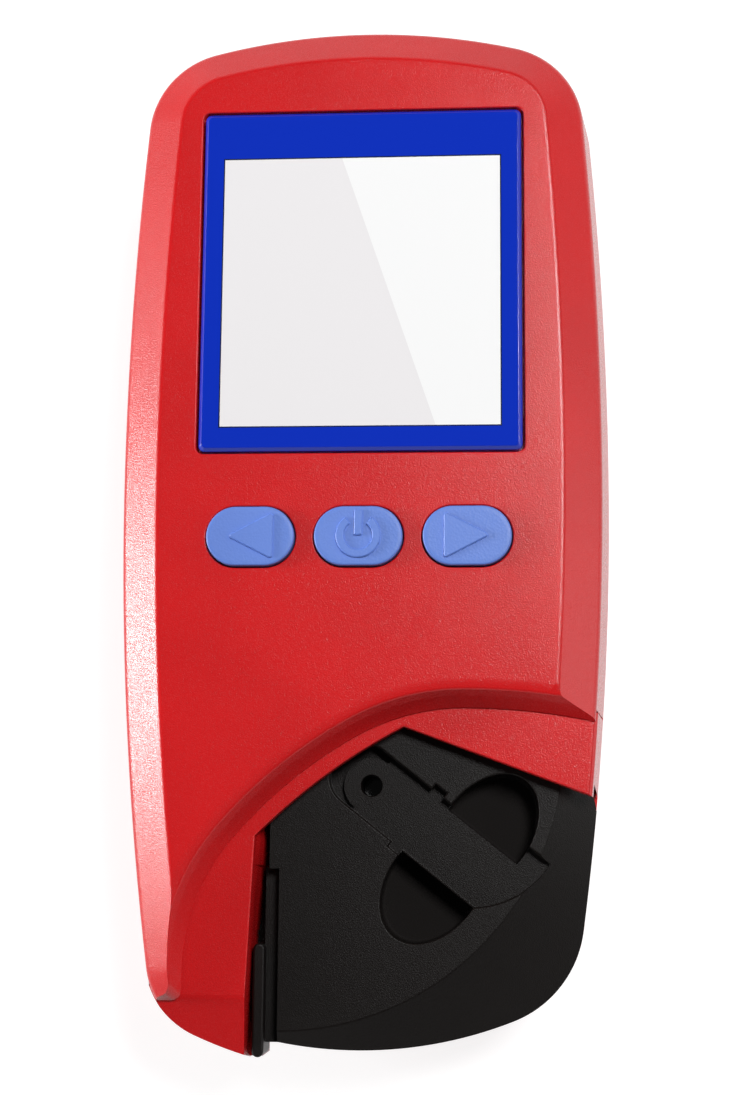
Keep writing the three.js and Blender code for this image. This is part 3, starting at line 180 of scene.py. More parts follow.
def finishShape(name, shape, flatness=1e-5):
    # a twisted four-sided face upsets the boolean, so it becomes two triangles
    twisted = []
    for face in shape.faces:
        face.normal_update()
        if len(face.verts) == 4:
            middle = face.verts[0].co
            if any(abs((v.co - middle).dot(face.normal)) > flatness for v in face.verts):
                twisted.append(face)
    bmesh.ops.triangulate(shape, faces=twisted)
    bmesh.ops.recalc_face_normals(shape, faces=shape.faces)
    mesh = bpy.data.meshes.new(name)
    shape.to_mesh(mesh)
    shape.free()
    return addObject(name, mesh)


def prism(name, points, z0, z1):
    return loft(name, [(points, z0), (points, z1)])


def block(name, x0, x1, y0, y1, z0, z1):
    return prism(name, [(x0, y0), (x1, y0), (x1, y1), (x0, y1)], z0, z1)


def disc(name, radius, x, y, z0, z1, steps=64):
    return prism(name, arc(x, y, radius, 0, math.tau, steps), z0, z1)


def extrudeAlongX(name, points, x0, x1):
    shape = bmesh.new()
    left = [shape.verts.new((x0, y, z)) for y, z in points]
    right = [shape.verts.new((x1, y, z)) for y, z in points]
    for i in range(len(points)):
        k = (i + 1) % len(points)
        shape.faces.new((left[i], left[k], right[k], right[i]))
    shape.faces.new(left)
    shape.faces.new(list(reversed(right)))
    return finishShape(name, shape)


# tools reach past what they cut by uneven amounts, so that no two of their faces lie in one plane

def combine(target, tool, how):
    change = target.modifiers.new("combine", "BOOLEAN")
    change.operation = how
    change.object = tool
    change.solver = "EXACT"
    evaluated = target.evaluated_get(bpy.context.evaluated_depsgraph_get())
    mesh = bpy.data.meshes.new_from_object(evaluated)
    target.modifiers.clear()
    old = target.data
    target.data = mesh
    bpy.data.meshes.remove(old)
    bpy.data.objects.remove(tool)
    return target


def cut(target, tool):
    return combine(target, tool, "DIFFERENCE")


def join(target, tool):
    return combine(target, tool, "UNION")


def keep(target, tool):
    return combine(target, tool, "INTERSECT")


def rimSteps(rim, edgeZ, lift=0.012, steps=5):
    # (outward, height) up a rounded rim, which ends a little above the face that it meets
    out = []
    for i in range(1, steps + 1):
        a = math.radians(82) * i / steps
        out.append((rim * (1 - math.cos(a)), edgeZ - rim * (1 - math.sin(a)) + lift * i / steps))
    return out


def pocketCutter(name, points, floorZ, edgeZ, rim, foot=0.15, steps=5):
    # a cutter whose pocket gets a small fillet at its floor and a rounded rim at edgeZ
    rings = []
    for i in range(steps + 1):
        a = quarter * i / steps
        rings.append((grown(points, -foot * (1 - math.sin(a))), floorZ + foot * (1 - math.cos(a))))
    rings += [(grown(points, out), z) for out, z in rimSteps(rim, edgeZ)]
    rings.append((rings[-1][0], skyZ + 1))
    return loft(name, rings)


def stadium(length, height, x, y, steps):
    radius = height / 2
    half = length / 2 - radius
    return (wholeArc(x + half, y, radius, -quarter, quarter, steps)
            + wholeArc(x - half, y, radius, quarter, 3 * quarter, steps))


def roundedRectangle(x0, x1, y0, y1, corner, steps=6):
    points = []
    corners = [(x1 - corner, y1 - corner), (x0 + corner, y1 - corner),
               (x0 + corner, y0 + corner), (x1 - corner, y0 + corner)]
    for i, (x, y) in enumerate(corners):
        points += wholeArc(x, y, corner, i * quarter, (i + 1) * quarter, steps)
    return points


def boxOutline(low, high, inset, corner, up=1):
    return roundedRectangle(low[0] + inset, high[0] - inset, low[up] + inset, high[up] - inset, corner)


# The case plan: barrel sides, arched ends and round corners

caseSettings = {
    "wideY": 7.5,
    "sideRadiusUp": 620,
    "sideRadiusDown": 490,
    "topArchRadius": 95,
    "topCornerRadius": 14.6,
    "tipArchRadius": 58,
    "tipCornerRadius": 13,
    "trayEndY": -74.7,
    "trayArchRadius": 60,
    "trayCornerRadius": 16,
    "notchLeftBottomX": -16.05,
    "notchLeftTopX": -14.6,
    "notchLeftTopY": -44.9,
    "notchApex": (6.3, -29.5),
    "notchRight": (33.3, -39.3),
    "notchBulge": 1.0,
    "notchSteps": 14,
}


def cornerCentre(s, sideRadius, archRadius, cornerRadius, archY, end):
    side = Vector((halfWidth - sideRadius, s["wideY"]))
    span = Vector((0, archY)) - side
    reachA = sideRadius - cornerRadius
    reachB = archRadius - cornerRadius
    along = (reachA ** 2 - reachB ** 2 + span.length_squared) / (2 * span.length)
    rise = end * math.sqrt(reachA ** 2 - along ** 2)
    n = span.normalized()
    return side + n * along + Vector((-n.y, n.x)) * rise


def casePlan(s, endY, archRadius, cornerRadius):
    topArchY = topY - s["topArchRadius"]
    endArchY = endY + archRadius
    up = s["sideRadiusUp"]
    down = s["sideRadiusDown"]
    upX = halfWidth - up
    downX = halfWidth - down
    top = cornerCentre(s, up, s["topArchRadius"], s["topCornerRadius"], topArchY, 1)
    end = cornerCentre(s, down, archRadius, cornerRadius, endArchY, -1)
    a = math.atan2(top.y - s["wideY"], top.x - upX)
    b = math.atan2(top.y - topArchY, top.x)
    c = math.atan2(end.y - s["wideY"], end.x - downX)
    d = math.atan2(end.y - endArchY, end.x)
    pi = math.pi
    topCorner = s["topCornerRadius"]
    return [
        (upX, s["wideY"], up, 0, a, 18),
        (top.x, top.y, topCorner, a, b, 24),
        (0, topArchY, s["topArchRadius"], b, pi - b, 30),
        (-top.x, top.y, topCorner, pi - b, pi - a, 24),
        (-upX, s["wideY"], up, pi - a, pi, 18),
        (-downX, s["wideY"], down, pi, pi - c, 18),
        (-end.x, end.y, cornerRadius, pi - c, pi - d, 24),
        (0, endArchY, archRadius, -pi - d, d, 30),
        (end.x, end.y, cornerRadius, d, c, 24),
        (downX, s["wideY"], down, c, 0, 18),
    ]


def outline(plan, inset):
    points = []
    for x, y, radius, start, stop, steps in plan:
        points += arc(x, y, radius - inset, start, stop, steps)
    return points


def planLoft(name, plan, levels):
    return loft(name, [(outline(plan, inset), z) for inset, z in levels])


tipX = caseSettings["notchLeftBottomX"]
tipRadius = caseSettings["tipArchRadius"]
tipMiddleY = tipY - tipRadius + math.sqrt(tipRadius ** 2 - tipX ** 2)
mainPlan = casePlan(caseSettings, tipMiddleY, tipRadius, caseSettings["tipCornerRadius"])
trayPlan = casePlan(caseSettings, caseSettings["trayEndY"], caseSettings["trayArchRadius"],
                    caseSettings["trayCornerRadius"])


def notchOutline(s, grow):
    left = Vector((s["notchLeftTopX"], s["notchLeftTopY"]))
    apex = Vector(s["notchApex"])
    fall = Vector(s["notchRight"]) - apex
    run = apex - left
    out = Vector((-run.y, run.x)).normalized()
    up = Vector((-fall.y, fall.x)).normalized()
    peak = apex + (out + up) * grow / (1 + out.dot(up))
    diagonal = []
    for i in range(s["notchSteps"] - 1, 0, -1):
        share = i / s["notchSteps"]
        bulge = s["notchBulge"] * (1 - (2 * share - 1) ** 2) + grow
        diagonal.append(tuple(left + run * share + out * bulge))
    edgeShare = (reach - apex.x) / fall.x
    return [
        (s["notchLeftBottomX"] - grow, tipY),
        (s["notchLeftBottomX"] - grow, tipY - 4),
        (reach, tipY - 4),
        (reach, apex.y + fall.y * edgeShare + grow),
        tuple(peak),
        *diagonal,
        (s["notchLeftTopX"] - grow, s["notchLeftTopY"]),
    ]


# Front shell: flat face, bevel all round, and the arched lip with its rolled edge

shellSettings = {
    "bevelInset": 7.15,
    "shoulderInset": 1.62,
    "shoulderDrop": 3.66,
    "shoulderRadius": 1.6,
    "creaseRadius": 1.4,
    "seamRadius": 0.35,
    "lipX": 15,
    "lipTopY": -25.2,
    "lipRightRadius": 90,
    "lipTopRadius": 32.6,
    "lipTopTurn": 29,
    "lipMiddleTurn": 50,
    "lipEndRadius": 30,
    "lipEndX": -26.1,
    "lipEndY": -66.0,
    "lipEndRounding": 1.3,
    "lipNose": ((28.3, 0), (29.4, 0.8), (30.9, 3.2), (33, 6.6)),
    "lipFoot": (-1.6, -4.2),
    "lipCrease": (-0.1, -1.6),
    "lipCreaseRadius": 0.35,
    "lipShoulder": (0.75, -0.3),
    "lipShoulderRadius": 0.7,
    "lipRoll": 1.9,
    "rim": 0.28,
    # (inset, below the face) of the hollow inside
    "hollow": ((wall + 1.45, 5.6), (3.92, 5), (7.86, wall)),
    "recessCorner": 1.0,
    "socketCorner": 0.6,
}


def lipOutline(s, grow):
    topTurn = quarter + math.radians(s["lipTopTurn"])
    middleTurn = quarter + math.radians(s["lipMiddleTurn"])
    topRadius, endRadius = s["lipTopRadius"], s["lipEndRadius"]
    # the middle arc is the one that meets both neighbours and lets the last end at lipEndX
    room = s["lipEndX"] + endRadius * (1 + math.cos(middleTurn))
    room = room - s["lipX"] - topRadius * math.cos(topTurn)
    middleRadius = room / (math.cos(middleTurn) - math.cos(topTurn))
    rightAngle = math.acos((reach - s["lipX"]) / (s["lipRightRadius"] + grow))
    points = arc(s["lipX"], s["lipTopY"] - s["lipRightRadius"], s["lipRightRadius"] + grow,
                 rightAngle, quarter, 30)
    centre = Vector((s["lipX"], s["lipTopY"] - topRadius))
    radius, start = topRadius, quarter
    for nextRadius, stop in ((topRadius, topTurn), (middleRadius, middleTurn), (endRadius, math.pi)):
        centre += Vector((math.cos(start), math.sin(start))) * (radius - nextRadius)
        points += arc(centre.x, centre.y, nextRadius + grow, start, stop, 24)
        radius, start = nextRadius, stop
    leftX = centre.x - radius - grow
    endY = s["lipEndY"] + grow
    rounding = s["lipEndRounding"]
    noseX = leftX - rounding
    for degrees in (0, 22, 45, 68, 90):
        a = math.radians(degrees)
        points.append((noseX + rounding * math.cos(a), endY + rounding - rounding * math.sin(a)))
    for x, rise in s["lipNose"]:
        noseX = min(noseX - gap, -x)
        points.append((noseX, endY + rise))
    return points + [(-reach, points[-1][1]), (-reach, tipY - 4), (reach, tipY - 4)]


def lipSolid(name, s, levels):
    return loft(name, [(lipOutline(s, grow), z) for grow, z in levels])


def shellProfile(s):
    return roundedLine([
        (s["seamRadius"], partZ, 0),
        (0, partZ, s["seamRadius"] * 0.9),
        (s["shoulderInset"], faceZ - s["shoulderDrop"], s["shoulderRadius"]),
        (s["bevelInset"], faceZ, s["creaseRadius"]),
        (s["bevelInset"] + 4, faceZ, 0),
    ], 7)[1:-1]


def makeFrontShell(s):
    shell = planLoft("front_shell_skin", mainPlan, shellProfile(s))
    inner = planLoft("inner", mainPlan, [
        (wall, partZ - 2),
        (wall, partZ),
        *[(inset, faceZ - drop) for inset, drop in s["hollow"]],
    ])
    lipBlock = lipSolid("lipBlock", s, [(wall, deckZ + gap), (wall, skyZ)])
    inner = cut(inner, lipBlock)
    shell = cut(shell, inner)
    foot, crease, shoulder = s["lipFoot"], s["lipCrease"], s["lipShoulder"]
    roll = roundedLine([
        (foot[0], faceZ + foot[1], 0),
        (crease[0], faceZ + crease[1], s["lipCreaseRadius"]),
        (shoulder[0], faceZ + shoulder[1], s["lipShoulderRadius"]),
        (s["lipRoll"] + 0.6, faceZ + 0.03, 0),
    ], 7)
    levels = [(0, partZ - 2), (0, faceZ + foot[1]), *roll, (roll[-1][0] + 0.05, skyZ)]
    shell = cut(shell, lipSolid("lipCut", s, levels))
    recess = boxOutline(lensLow, lensHigh, -gap, s["recessCorner"])
    shell = cut(shell, pocketCutter("recess", recess, lensLow[2] - gap, faceZ, s["rim"]))
    room = 2 * buttonSettings["clearance"]
    for side in buttonSides:
        hole = stadium(buttonSettings["length"] + room, buttonSettings["height"] + room,
                       *middleOf("button_" + side), 24)
        shell = cut(shell, pocketCutter("hole", hole, faceZ - wall - 1, faceZ, s["rim"]))
    # the socket's mouth is drawn flat and then stood up
    low, high = nodeBox("data_socket")
    mouth = boxOutline(low, high, -gap, s["socketCorner"], 2)
    tool = prism("mouth", mouth, low[1], topY + 3)
    tool.data.transform(Matrix(((1, 0, 0, 0), (0, 0, 1, 0), (0, 1, 0, 0), (0, 0, 0, 1))))
    tool.data.flip_normals()
    return cut(shell, tool)


# Buttons: oval caps with a raised arrow or power sign

buttonSettings = {
    "length": 12.55,
    "height": 8.5,
    "proud": 0.9,
    "edgeRadius": 0.3,
    "crown": 0.06,
    "crownInset": 0.35,
    "crownRadius": 2.0,
    "flatHalf": 0.8,
    "signRise": 0.34,
    "clearance": 0.17,
    "arrowLength": 6.6,
    "arrowHalfWidth": 3.4,
    "arrowRadius": 0.35,
    "powerRadius": 3.2,
    "powerLine": 1.2,
    "powerGap": 35,
    "powerBar": 3.7,
    "barWidth": 1.2,
    "barCorner": 0.2,
    "signEdge": 0.16,
    "flange": 1,
    "stemRadius": 2,
}
buttonSides = ("left", "power", "right")


def arrowOutline(s, x, y, direction):
    half = s["arrowLength"] / 2
    width = s["arrowHalfWidth"]
    tips = [(half, 0), (-half, width), (-half, -width)]
    points = [(x + direction * px, y + direction * py) for px, py in tips]
    closed = [*points[-1:], *points, *points[:1]]
    return roundedLine([(px, py, s["arrowRadius"]) for px, py in closed], 5)[1:-1]


def powerOutline(s, x, y):
    gapAngle = math.radians(s["powerGap"])
    start = quarter + gapAngle
    stop = quarter + math.tau - gapAngle
    return (wholeArc(x, y, s["powerRadius"], start, stop, 48)
            + wholeArc(x, y, s["powerRadius"] - s["powerLine"], stop, start, 48))


def makeButton(side, s):
    x, y = middleOf("button_" + side)
    topZ = faceZ + s["proud"]
    flangeZ = faceZ - wall - gap

    def oval(grow):
        return stadium(s["length"] + 2 * grow, s["height"] + 2 * grow, x, y, 24)

    levels = roundedLine([
        (0, flangeZ - 0.2, 0),
        (0, topZ - s["crown"], s["edgeRadius"]),
        (s["edgeRadius"] + s["crownInset"], topZ - s["crown"] * 0.4, s["crownRadius"]),
        (s["height"] / 2 - s["flatHalf"], topZ, 0),
    ], 6)[:-1]
    cap = loft("button_" + side + "_cap", [(oval(-inset), z) for inset, z in levels])
    cap = join(cap, prism("flange", oval(s["flange"]), flangeZ - 1, flangeZ))
    cap = join(cap, disc("stem", s["stemRadius"], x, y, nodeBox("button_" + side)[0][2], flangeZ - 0.5))
    if side == "power":
        half = s["barWidth"] / 2
        signs = [powerOutline(s, x, y),
                 roundedRectangle(x - half, x + half, y, y + s["powerBar"], s["barCorner"])]
    else:
        signs = [arrowOutline(s, x, y, -1 if side == "left" else 1)]
    signZ = topZ + s["signRise"]
    edge = s["signEdge"]
    for sign in signs:
        cap = join(cap, loft("sign", [
            (sign, topZ - 0.3), (sign, signZ - edge), (grown(sign, -edge * 0.9), signZ - edge * 0.1),
            (grown(sign, -edge * 1.2), signZ)]))
    return cap


# Lower deck: the step below the lip, with its sloped end and the notch over the tray

deckSettings = {
    "inset": 1.3,
    "edgeRadius": 0.8,
    "thickness": 2.2,
    "lap": 3.5,
    "lapInset": 5.0,
    "slopeY": -67.0,
    "slopeRun": 9,
    "slopeDrop": 4,
    "slopeRadius": 3,
    "pivotSweep": 5.4,
    "rim": 0.3,
    "sideWallTop": (
        (-16, -58.2), (-15.25, -58.2), (-14.84, -49.6), (-14.81, -48.9), (-14.56, -43.6), (-16, -43.6)),
    "sideWallFoot": (
        (-16, -58.2), (-15.15, -58.2), (-13.75, -49.6), (-12.97, -48.9), (-12.97, -43.6), (-16, -43.6)),
    "sideWallDrop": 0.8,
}


def deckSlope(s, lower, radius):
    y0, run, drop = s["slopeY"], s["slopeRun"], s["slopeDrop"]
    z = deckZ - lower
    line = roundedLine([(y0 + 20, z + 0.02, 0), (y0, z, radius), (y0 - 2 * run, z - 2 * drop, 0)], 8)
    line = [(y, h) for y, h in line if y < y0 + 6]
    points = [(line[0][0], z + 0.02), *line, (line[-1][0], skyZ), (line[0][0], skyZ)]
    return extrudeAlongX("slope", points, -reach, reach)


def makeLowerDeck(s):
    deck = planLoft("lower_deck_skin", mainPlan, roundedLine([
        (shellSettings["seamRadius"], partZ, 0),
        (0, partZ, shellSettings["seamRadius"] * 0.9),
        (s["inset"], deckZ, s["edgeRadius"]),
        (s["inset"] + 3, deckZ, 0),
    ], 6)[1:-1])
    inner = planLoft("inner", mainPlan, [
        (wall, partZ - 2),
        (wall, partZ),
        (s["inset"] + wall, deckZ - s["thickness"]),
    ])
    # the wall left of the notch stays solid
    leftWall = prism("leftWall", notchOutline(caseSettings, 2), partZ - 3, deckZ + 1)
    leftWall = keep(leftWall, block("left", -halfWidth, caseSettings["notchLeftTopX"], tipY - 4,
                                    caseSettings["notchLeftTopY"], partZ - 4, deckZ))
    inner = cut(inner, leftWall)
    inner = cut(inner, deckSlope(s, s["thickness"], 0))
    deck = cut(deck, inner)
    under = lipSolid("under", shellSettings, [(-gap, partZ - 2), (-gap, skyZ)])
    deck = keep(deck, under)
    lap = lipSolid("lap", shellSettings, [(s["lap"], deckZ - s["thickness"]), (s["lap"], deckZ - 0.01)])
    lap = keep(lap, prism("lapPlan", outline(mainPlan, s["lapInset"]), deckZ - 4, deckZ + 1))
    deck = join(deck, lap)
    deck = cut(deck, deckSlope(s, 0, s["slopeRadius"]))
    deck = cut(deck, notchCutter(s))
    # the notch's left wall leans out to the tray at its upper end
    deck = join(deck, loft("sideWall", [(s["sideWallFoot"], partZ + 0.02),
                                        (s["sideWallTop"], deckZ - s["sideWallDrop"])]))
    return cut(deck, disc("sweep", s["pivotSweep"], *traySettings["pivot"], partZ - 2, trayTopZ + gap))


def notchCutter(s):
    straight = notchOutline(caseSettings, 0)
    rings = [(straight, partZ - 2), (straight, deckZ - s["rim"])]
    rings += [(notchOutline(caseSettings, out), z) for out, z in rimSteps(s["rim"], deckZ, 0.01)]
    rings.append((rings[-1][0], skyZ))
    return loft("notch", rings)


# Black tray: slot for the cuvette, optical hole, finger hollows and thumb fin

traySettings = {
    "inset": 0.1,
    "draft": 0.2,
    "edgeRadius": 0.5,
    "lap": 2.5,
    "creaseX": -11.5,
    "creaseY": -31.5,
    "creaseRadius": 40.3,
    "creaseRounding": 0.7,
    "bevelRun": 20,
    "bevelFall": 11,
    "leftX": -12.75,
    "stepX": -11.35,
    "stepY": -49.4,
    "ledgeDrop": 2.6,
    "lobeX": 24.5,
    "lobeRadius": 4.5,
    "neckSetback": 1.6,
    "pivot": (29.0, -40.9),
    "finLeftX": -15.0,
    "finWidth": 1.7,
    "finTopY": -59.8,
    "finEndY": -75.5,
    "finDrop": 0.8,
    "finRadius": 0.35,
    "finInset": 0.6,
    "pinBore": 2.08,
    "pinBoreTop": 22.8,
    "rim": 0.3,
}

slotSettings = {
    "hole": (1.5, -37.6),
    "turn": -38,
    "innerEnd": -6.5,
    "low": -4.35,
    "high": 5.0,
    "wide": 7.1,
    "wideStart": 23,
    "arcAlong": 13.2,
    "arcAcross": 6.0,
    "arcRadius": 13.6,
    "depth": 1.8,
    "holeRadius": 1.5,
    "collarRadius": 3.9,
    "pocketDepth": 2.9,
    "keyAlong": 8.2,
    "keyWidth": 2.0,
    "keyDepth": 0.9,
    "railLow": -4.5,
    "railHigh": 4.1,
    "lowHollow": (15.6, -5.3, 6.4, 9.2),
    "highHollow": (16.9, 4.9, 6.2, 9.2),
    "hollowDepth": 5.0,
    "fillet": 0.12,
    "holeRim": 0.2,
    "hollowFillet": 0.5,
}


def slotPoint(s, along, across):
    turn = math.radians(s["turn"])
    x, y = s["hole"]
    return (x + along * math.cos(turn) - across * math.sin(turn),
            y + along * math.sin(turn) + across * math.cos(turn))


def slotOutline(s):
    arcStart = math.asin((s["low"] - s["arcAcross"]) / s["arcRadius"])
    arcEnd = math.asin((s["wide"] - s["arcAcross"]) / s["arcRadius"])
    radius = (s["high"] - s["low"]) / 2
    middle = (s["high"] + s["low"]) / 2
    keyLeft = s["keyAlong"] - s["keyWidth"] / 2
    keyRight = s["keyAlong"] + s["keyWidth"] / 2
    line = [
        *wholeArc(s["arcAlong"], s["arcAcross"], s["arcRadius"], arcStart, arcEnd, 24),
        (s["wideStart"], s["wide"]),
        (s["wideStart"], s["high"]),
        (keyRight, s["high"]),
        (keyRight, s["high"] + s["keyDepth"]),
        (keyLeft, s["high"] + s["keyDepth"]),
        (keyLeft, s["high"]),
        *wholeArc(s["innerEnd"] + radius, middle, radius, quarter, 3 * quarter, 24),
        (keyLeft, s["low"]),
        (keyLeft, s["low"] - s["keyDepth"]),
        (keyRight, s["low"] - s["keyDepth"]),
        (keyRight, s["low"]),
    ]
    return [slotPoint(s, *p) for p in line]


def hollowOutline(s, name):
    # an oval whose side towards the slot is cut straight by a rail
    along, across, halfLength, halfWide = s[name]
    rail = s["railLow"] if name == "lowHollow" else s["railHigh"]
    lean = math.asin(max(-1, min(1, (rail - across) / halfWide)))
    start, sweep = lean, math.pi - 2 * lean
    if name == "lowHollow":
        start, sweep = math.pi - lean, math.pi + 2 * lean
    turns = [start + sweep * i / 40 for i in range(41)]
    line = [(along + halfLength * math.cos(a), across + halfWide * math.sin(a)) for a in turns]
    return [slotPoint(s, *p) for p in line]


def trayRegion(s):
    # the tray's plan: the notch with a lap under the deck, and the lobe and neck round the pivot
    low, sky = trayBottomZ - 2, skyZ
    x, y = s["pivot"]
    region = prism("region", notchOutline(caseSettings, s["lap"]), low, sky)
    region = keep(region, block("span", s["leftX"], s["lobeX"], tipY - 4, topY, low - 1, sky + 1))
    region = join(region, block("right", s["lobeX"] - gap, reach, tipY - 4, y, low, sky))
    region = join(region, disc("lobe", s["lobeRadius"], x, y, low - 0.5, sky + 0.5, 72))
    neck = prism("neck", notchOutline(caseSettings, s["lap"]), low - 0.2, sky + 0.2)
    neck = keep(neck, block("neckSpan", s["lobeX"] - gap, x - s["neckSetback"], y - gap, topY,
                            low - 1, sky + 1))
    region = join(region, neck)
    return cut(region, block("step", s["leftX"] - 4, s["stepX"], tipY - 5, s["stepY"], low - 2, sky + 2))


def makeTray(s, t):
    tray = planLoft("cuvette_tray_body", trayPlan, roundedLine([
        (s["inset"], trayBottomZ, 0),
        (s["inset"] + s["draft"], trayTopZ, s["edgeRadius"]),
        (s["inset"] + s["draft"] + 3, trayTopZ, 0),
    ], 5)[:-1])
    tray = keep(tray, trayRegion(s))
    # the top's round bevel is turned about one axis; the tool stands a hair above the flat top
    far = s["creaseRadius"] + s["bevelRun"]
    crown = [  # (radius, height)
        (0.001, trayBottomZ - 6),
        (far, trayBottomZ - 6),
        *reversed(roundedLine([
            (s["creaseRadius"] - 12, trayTopZ + 0.003, 0),
            (s["creaseRadius"], trayTopZ, s["creaseRounding"]),
            (far, trayTopZ - s["bevelFall"], 0),
        ], 8)[1:]),
        (0.001, trayTopZ + 0.004),
    ]
    tray = keep(tray, loft("crown", [
        (arc(s["creaseX"], s["creaseY"], radius, 0, math.tau, 180), z) for radius, z in crown]))
    ledgeZ = trayTopZ - s["ledgeDrop"]
    finX = s["finLeftX"] + s["finWidth"]
    tray = join(tray, block("ledge", finX - 0.2, s["stepX"] + 0.2, caseSettings["trayEndY"] + 1.2,
                            s["stepY"] + 0.2, trayBottomZ, ledgeZ))
    middle = (s["finLeftX"] + finX) / 2
    length = s["finTopY"] - s["finEndY"]
    finOutline = [(middle - y, s["finEndY"] + length / 2 + x)
                  for x, y in stadium(length, s["finWidth"], 0, 0, 14)]
    finTopZ = trayTopZ - s["finDrop"]
    fin = loft("fin", [(grown(finOutline, -i), z) for i, z in roundedLine([
        (0, trayBottomZ + 0.05, 0), (0, finTopZ, s["finRadius"]), (s["finInset"], finTopZ, 0)], 5)[:-1]])
    tray = join(tray, fin)
    slot = slotOutline(t)
    floorZ = trayTopZ - t["depth"]
    tray = cut(tray, pocketCutter("slot", slot, floorZ, trayTopZ, s["rim"], t["fillet"]))
    # the slot's inner end is deeper, round the collar of the optical hole
    deep = prism("deep", grown(slot, -t["fillet"]), trayTopZ - t["pocketDepth"], floorZ + 0.3)
    end, low, high = t["innerEnd"] - 2, t["low"] - 1, t["high"] + 1
    band = [slotPoint(t, *p) for p in ((end, low), (0, low), (0, high), (end, high))]
    deep = keep(deep, prism("band", band, trayTopZ - 4, trayTopZ))
    x, y = t["hole"]
    deep = cut(deep, disc("collar", t["collarRadius"], x, y, trayTopZ - 5, trayTopZ + 1, 72))
    tray = cut(tray, deep)
    hole = arc(x, y, t["holeRadius"], 0, math.tau, 48)
    tray = cut(tray, pocketCutter("opticalHole", hole, trayBottomZ - 1, floorZ, t["holeRim"]))
    for name in ("lowHollow", "highHollow"):
        tray = cut(tray, pocketCutter("hollow", hollowOutline(t, name), trayTopZ - t["hollowDepth"],
                                      trayTopZ, s["rim"], t["hollowFillet"]))
    return cut(tray, disc("bore", s["pinBore"], *s["pivot"], trayBottomZ - 1, s["pinBoreTop"]))


# Copies of construction parts with softened edges

def softened(node, name, width=0, sharpAngle=28, flatAngle=0.5, weld=0.0005, steps=2):
    shape = bmesh.new()
    shape.from_mesh(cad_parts[node].data)
    shape.transform(Matrix.Scale(1 / mm, 4))
    bmesh.ops.remove_doubles(shape, verts=shape.verts, dist=weld)
    bmesh.ops.dissolve_limit(shape, angle_limit=math.radians(flatAngle), verts=shape.verts,
                             edges=shape.edges)
    if width > 0:
        sharp = [e for e in shape.edges if e.is_manifold and e.calc_face_angle(0) > math.radians(sharpAngle)]
        bmesh.ops.bevel(shape, geom=sharp, offset=width, segments=steps, profile=0.5, affect="EDGES",
                        clamp_overlap=True)
    return finishShape(name, shape)


def settle(piece, body, nodes, material, angle=32):
    # brings a piece to metres, smooths its shading and hands it to its body
    mesh = piece.data
    mesh.transform(Matrix.Scale(mm, 4))
    for face in mesh.polygons:
        face.use_smooth = True
    mesh.set_sharp_from_angle(angle=math.radians(angle))
    mesh.materials.clear()
    mesh.materials.append(material)
    piece.modifiers.new("evenShading", "WEIGHTED_NORMAL").keep_sharp = True
    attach(piece, body)
    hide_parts(*nodes)


# Nodes, for the materials, the light and Geometry Nodes

def link(tree, a, b):
    tree.links.new(a, b)


def step(tree, kind, values, output=0, **settings):
    # values are sockets to link or plain numbers, by the input's name or place
    node = tree.nodes.new(kind)
    for key, value in settings.items():
        setattr(node, key, value)
    for key, value in values.items():
        if isinstance(value, bpy.types.NodeSocket):
            link(tree, value, node.inputs[key])
        else:
            node.inputs[key].default_value = value
    return node.outputs[output]


def maths(tree, kind, a, b):
    return step(tree, "ShaderNodeMath", {0: a, 1: b}, operation=kind)


def axes(tree, vector):
    parts = tree.nodes.new("ShaderNodeSeparateXYZ")
    link(tree, vector, parts.inputs[0])
    return parts.outputs


def coordinates(tree, kind="Object"):
    return tree.nodes.new("ShaderNodeTexCoord").outputs[kind]


# Materials

def newMaterial(name, colour, roughness, **sockets):
    material = bpy.data.materials.new(name)
    material.use_nodes = True
    tree = material.node_tree
    shader = tree.nodes["Principled BSDF"]
    for key, value in {"Base Color": (*colour, 1), "Roughness": roughness, **sockets}.items():
        shader.inputs[key].default_value = value
    return material, tree, shader


def noise(tree, scale, detail):
    return step(tree, "ShaderNodeTexNoise", {
        "Vector": coordinates(tree), "Scale": scale, "Detail": detail, "Roughness": 0.5})


def ramp(tree, source, places, colours):
    node = tree.nodes.new("ShaderNodeValToRGB")
    for element, position, colour in zip(node.color_ramp.elements, places, colours):
        element.position = position
        element.color = (*colour, 1)
    link(tree, source, node.inputs["Fac"])
    return node.outputs["Color"]


def bump(tree, shader, sources, distance):
    # sources are (height, strength), each laid over the one before it
    under = {}
    for height, strength in sources:
        values = {"Height": height, "Strength": strength, "Distance": distance, **under}
        under = {"Normal": step(tree, "ShaderNodeBump", values)}
    link(tree, under["Normal"], shader.inputs["Normal"])


grainSettings = {
    "patchScale": 60,
    "patchDetail": 4,
    "patchContrast": 0.05,
    "blend": (0.3, 0.7),
    "fineScale": 1.6,
    "fineShare": 0.6,
    "dots": (0.42, 0.7),
    "height": 0.0001,
}


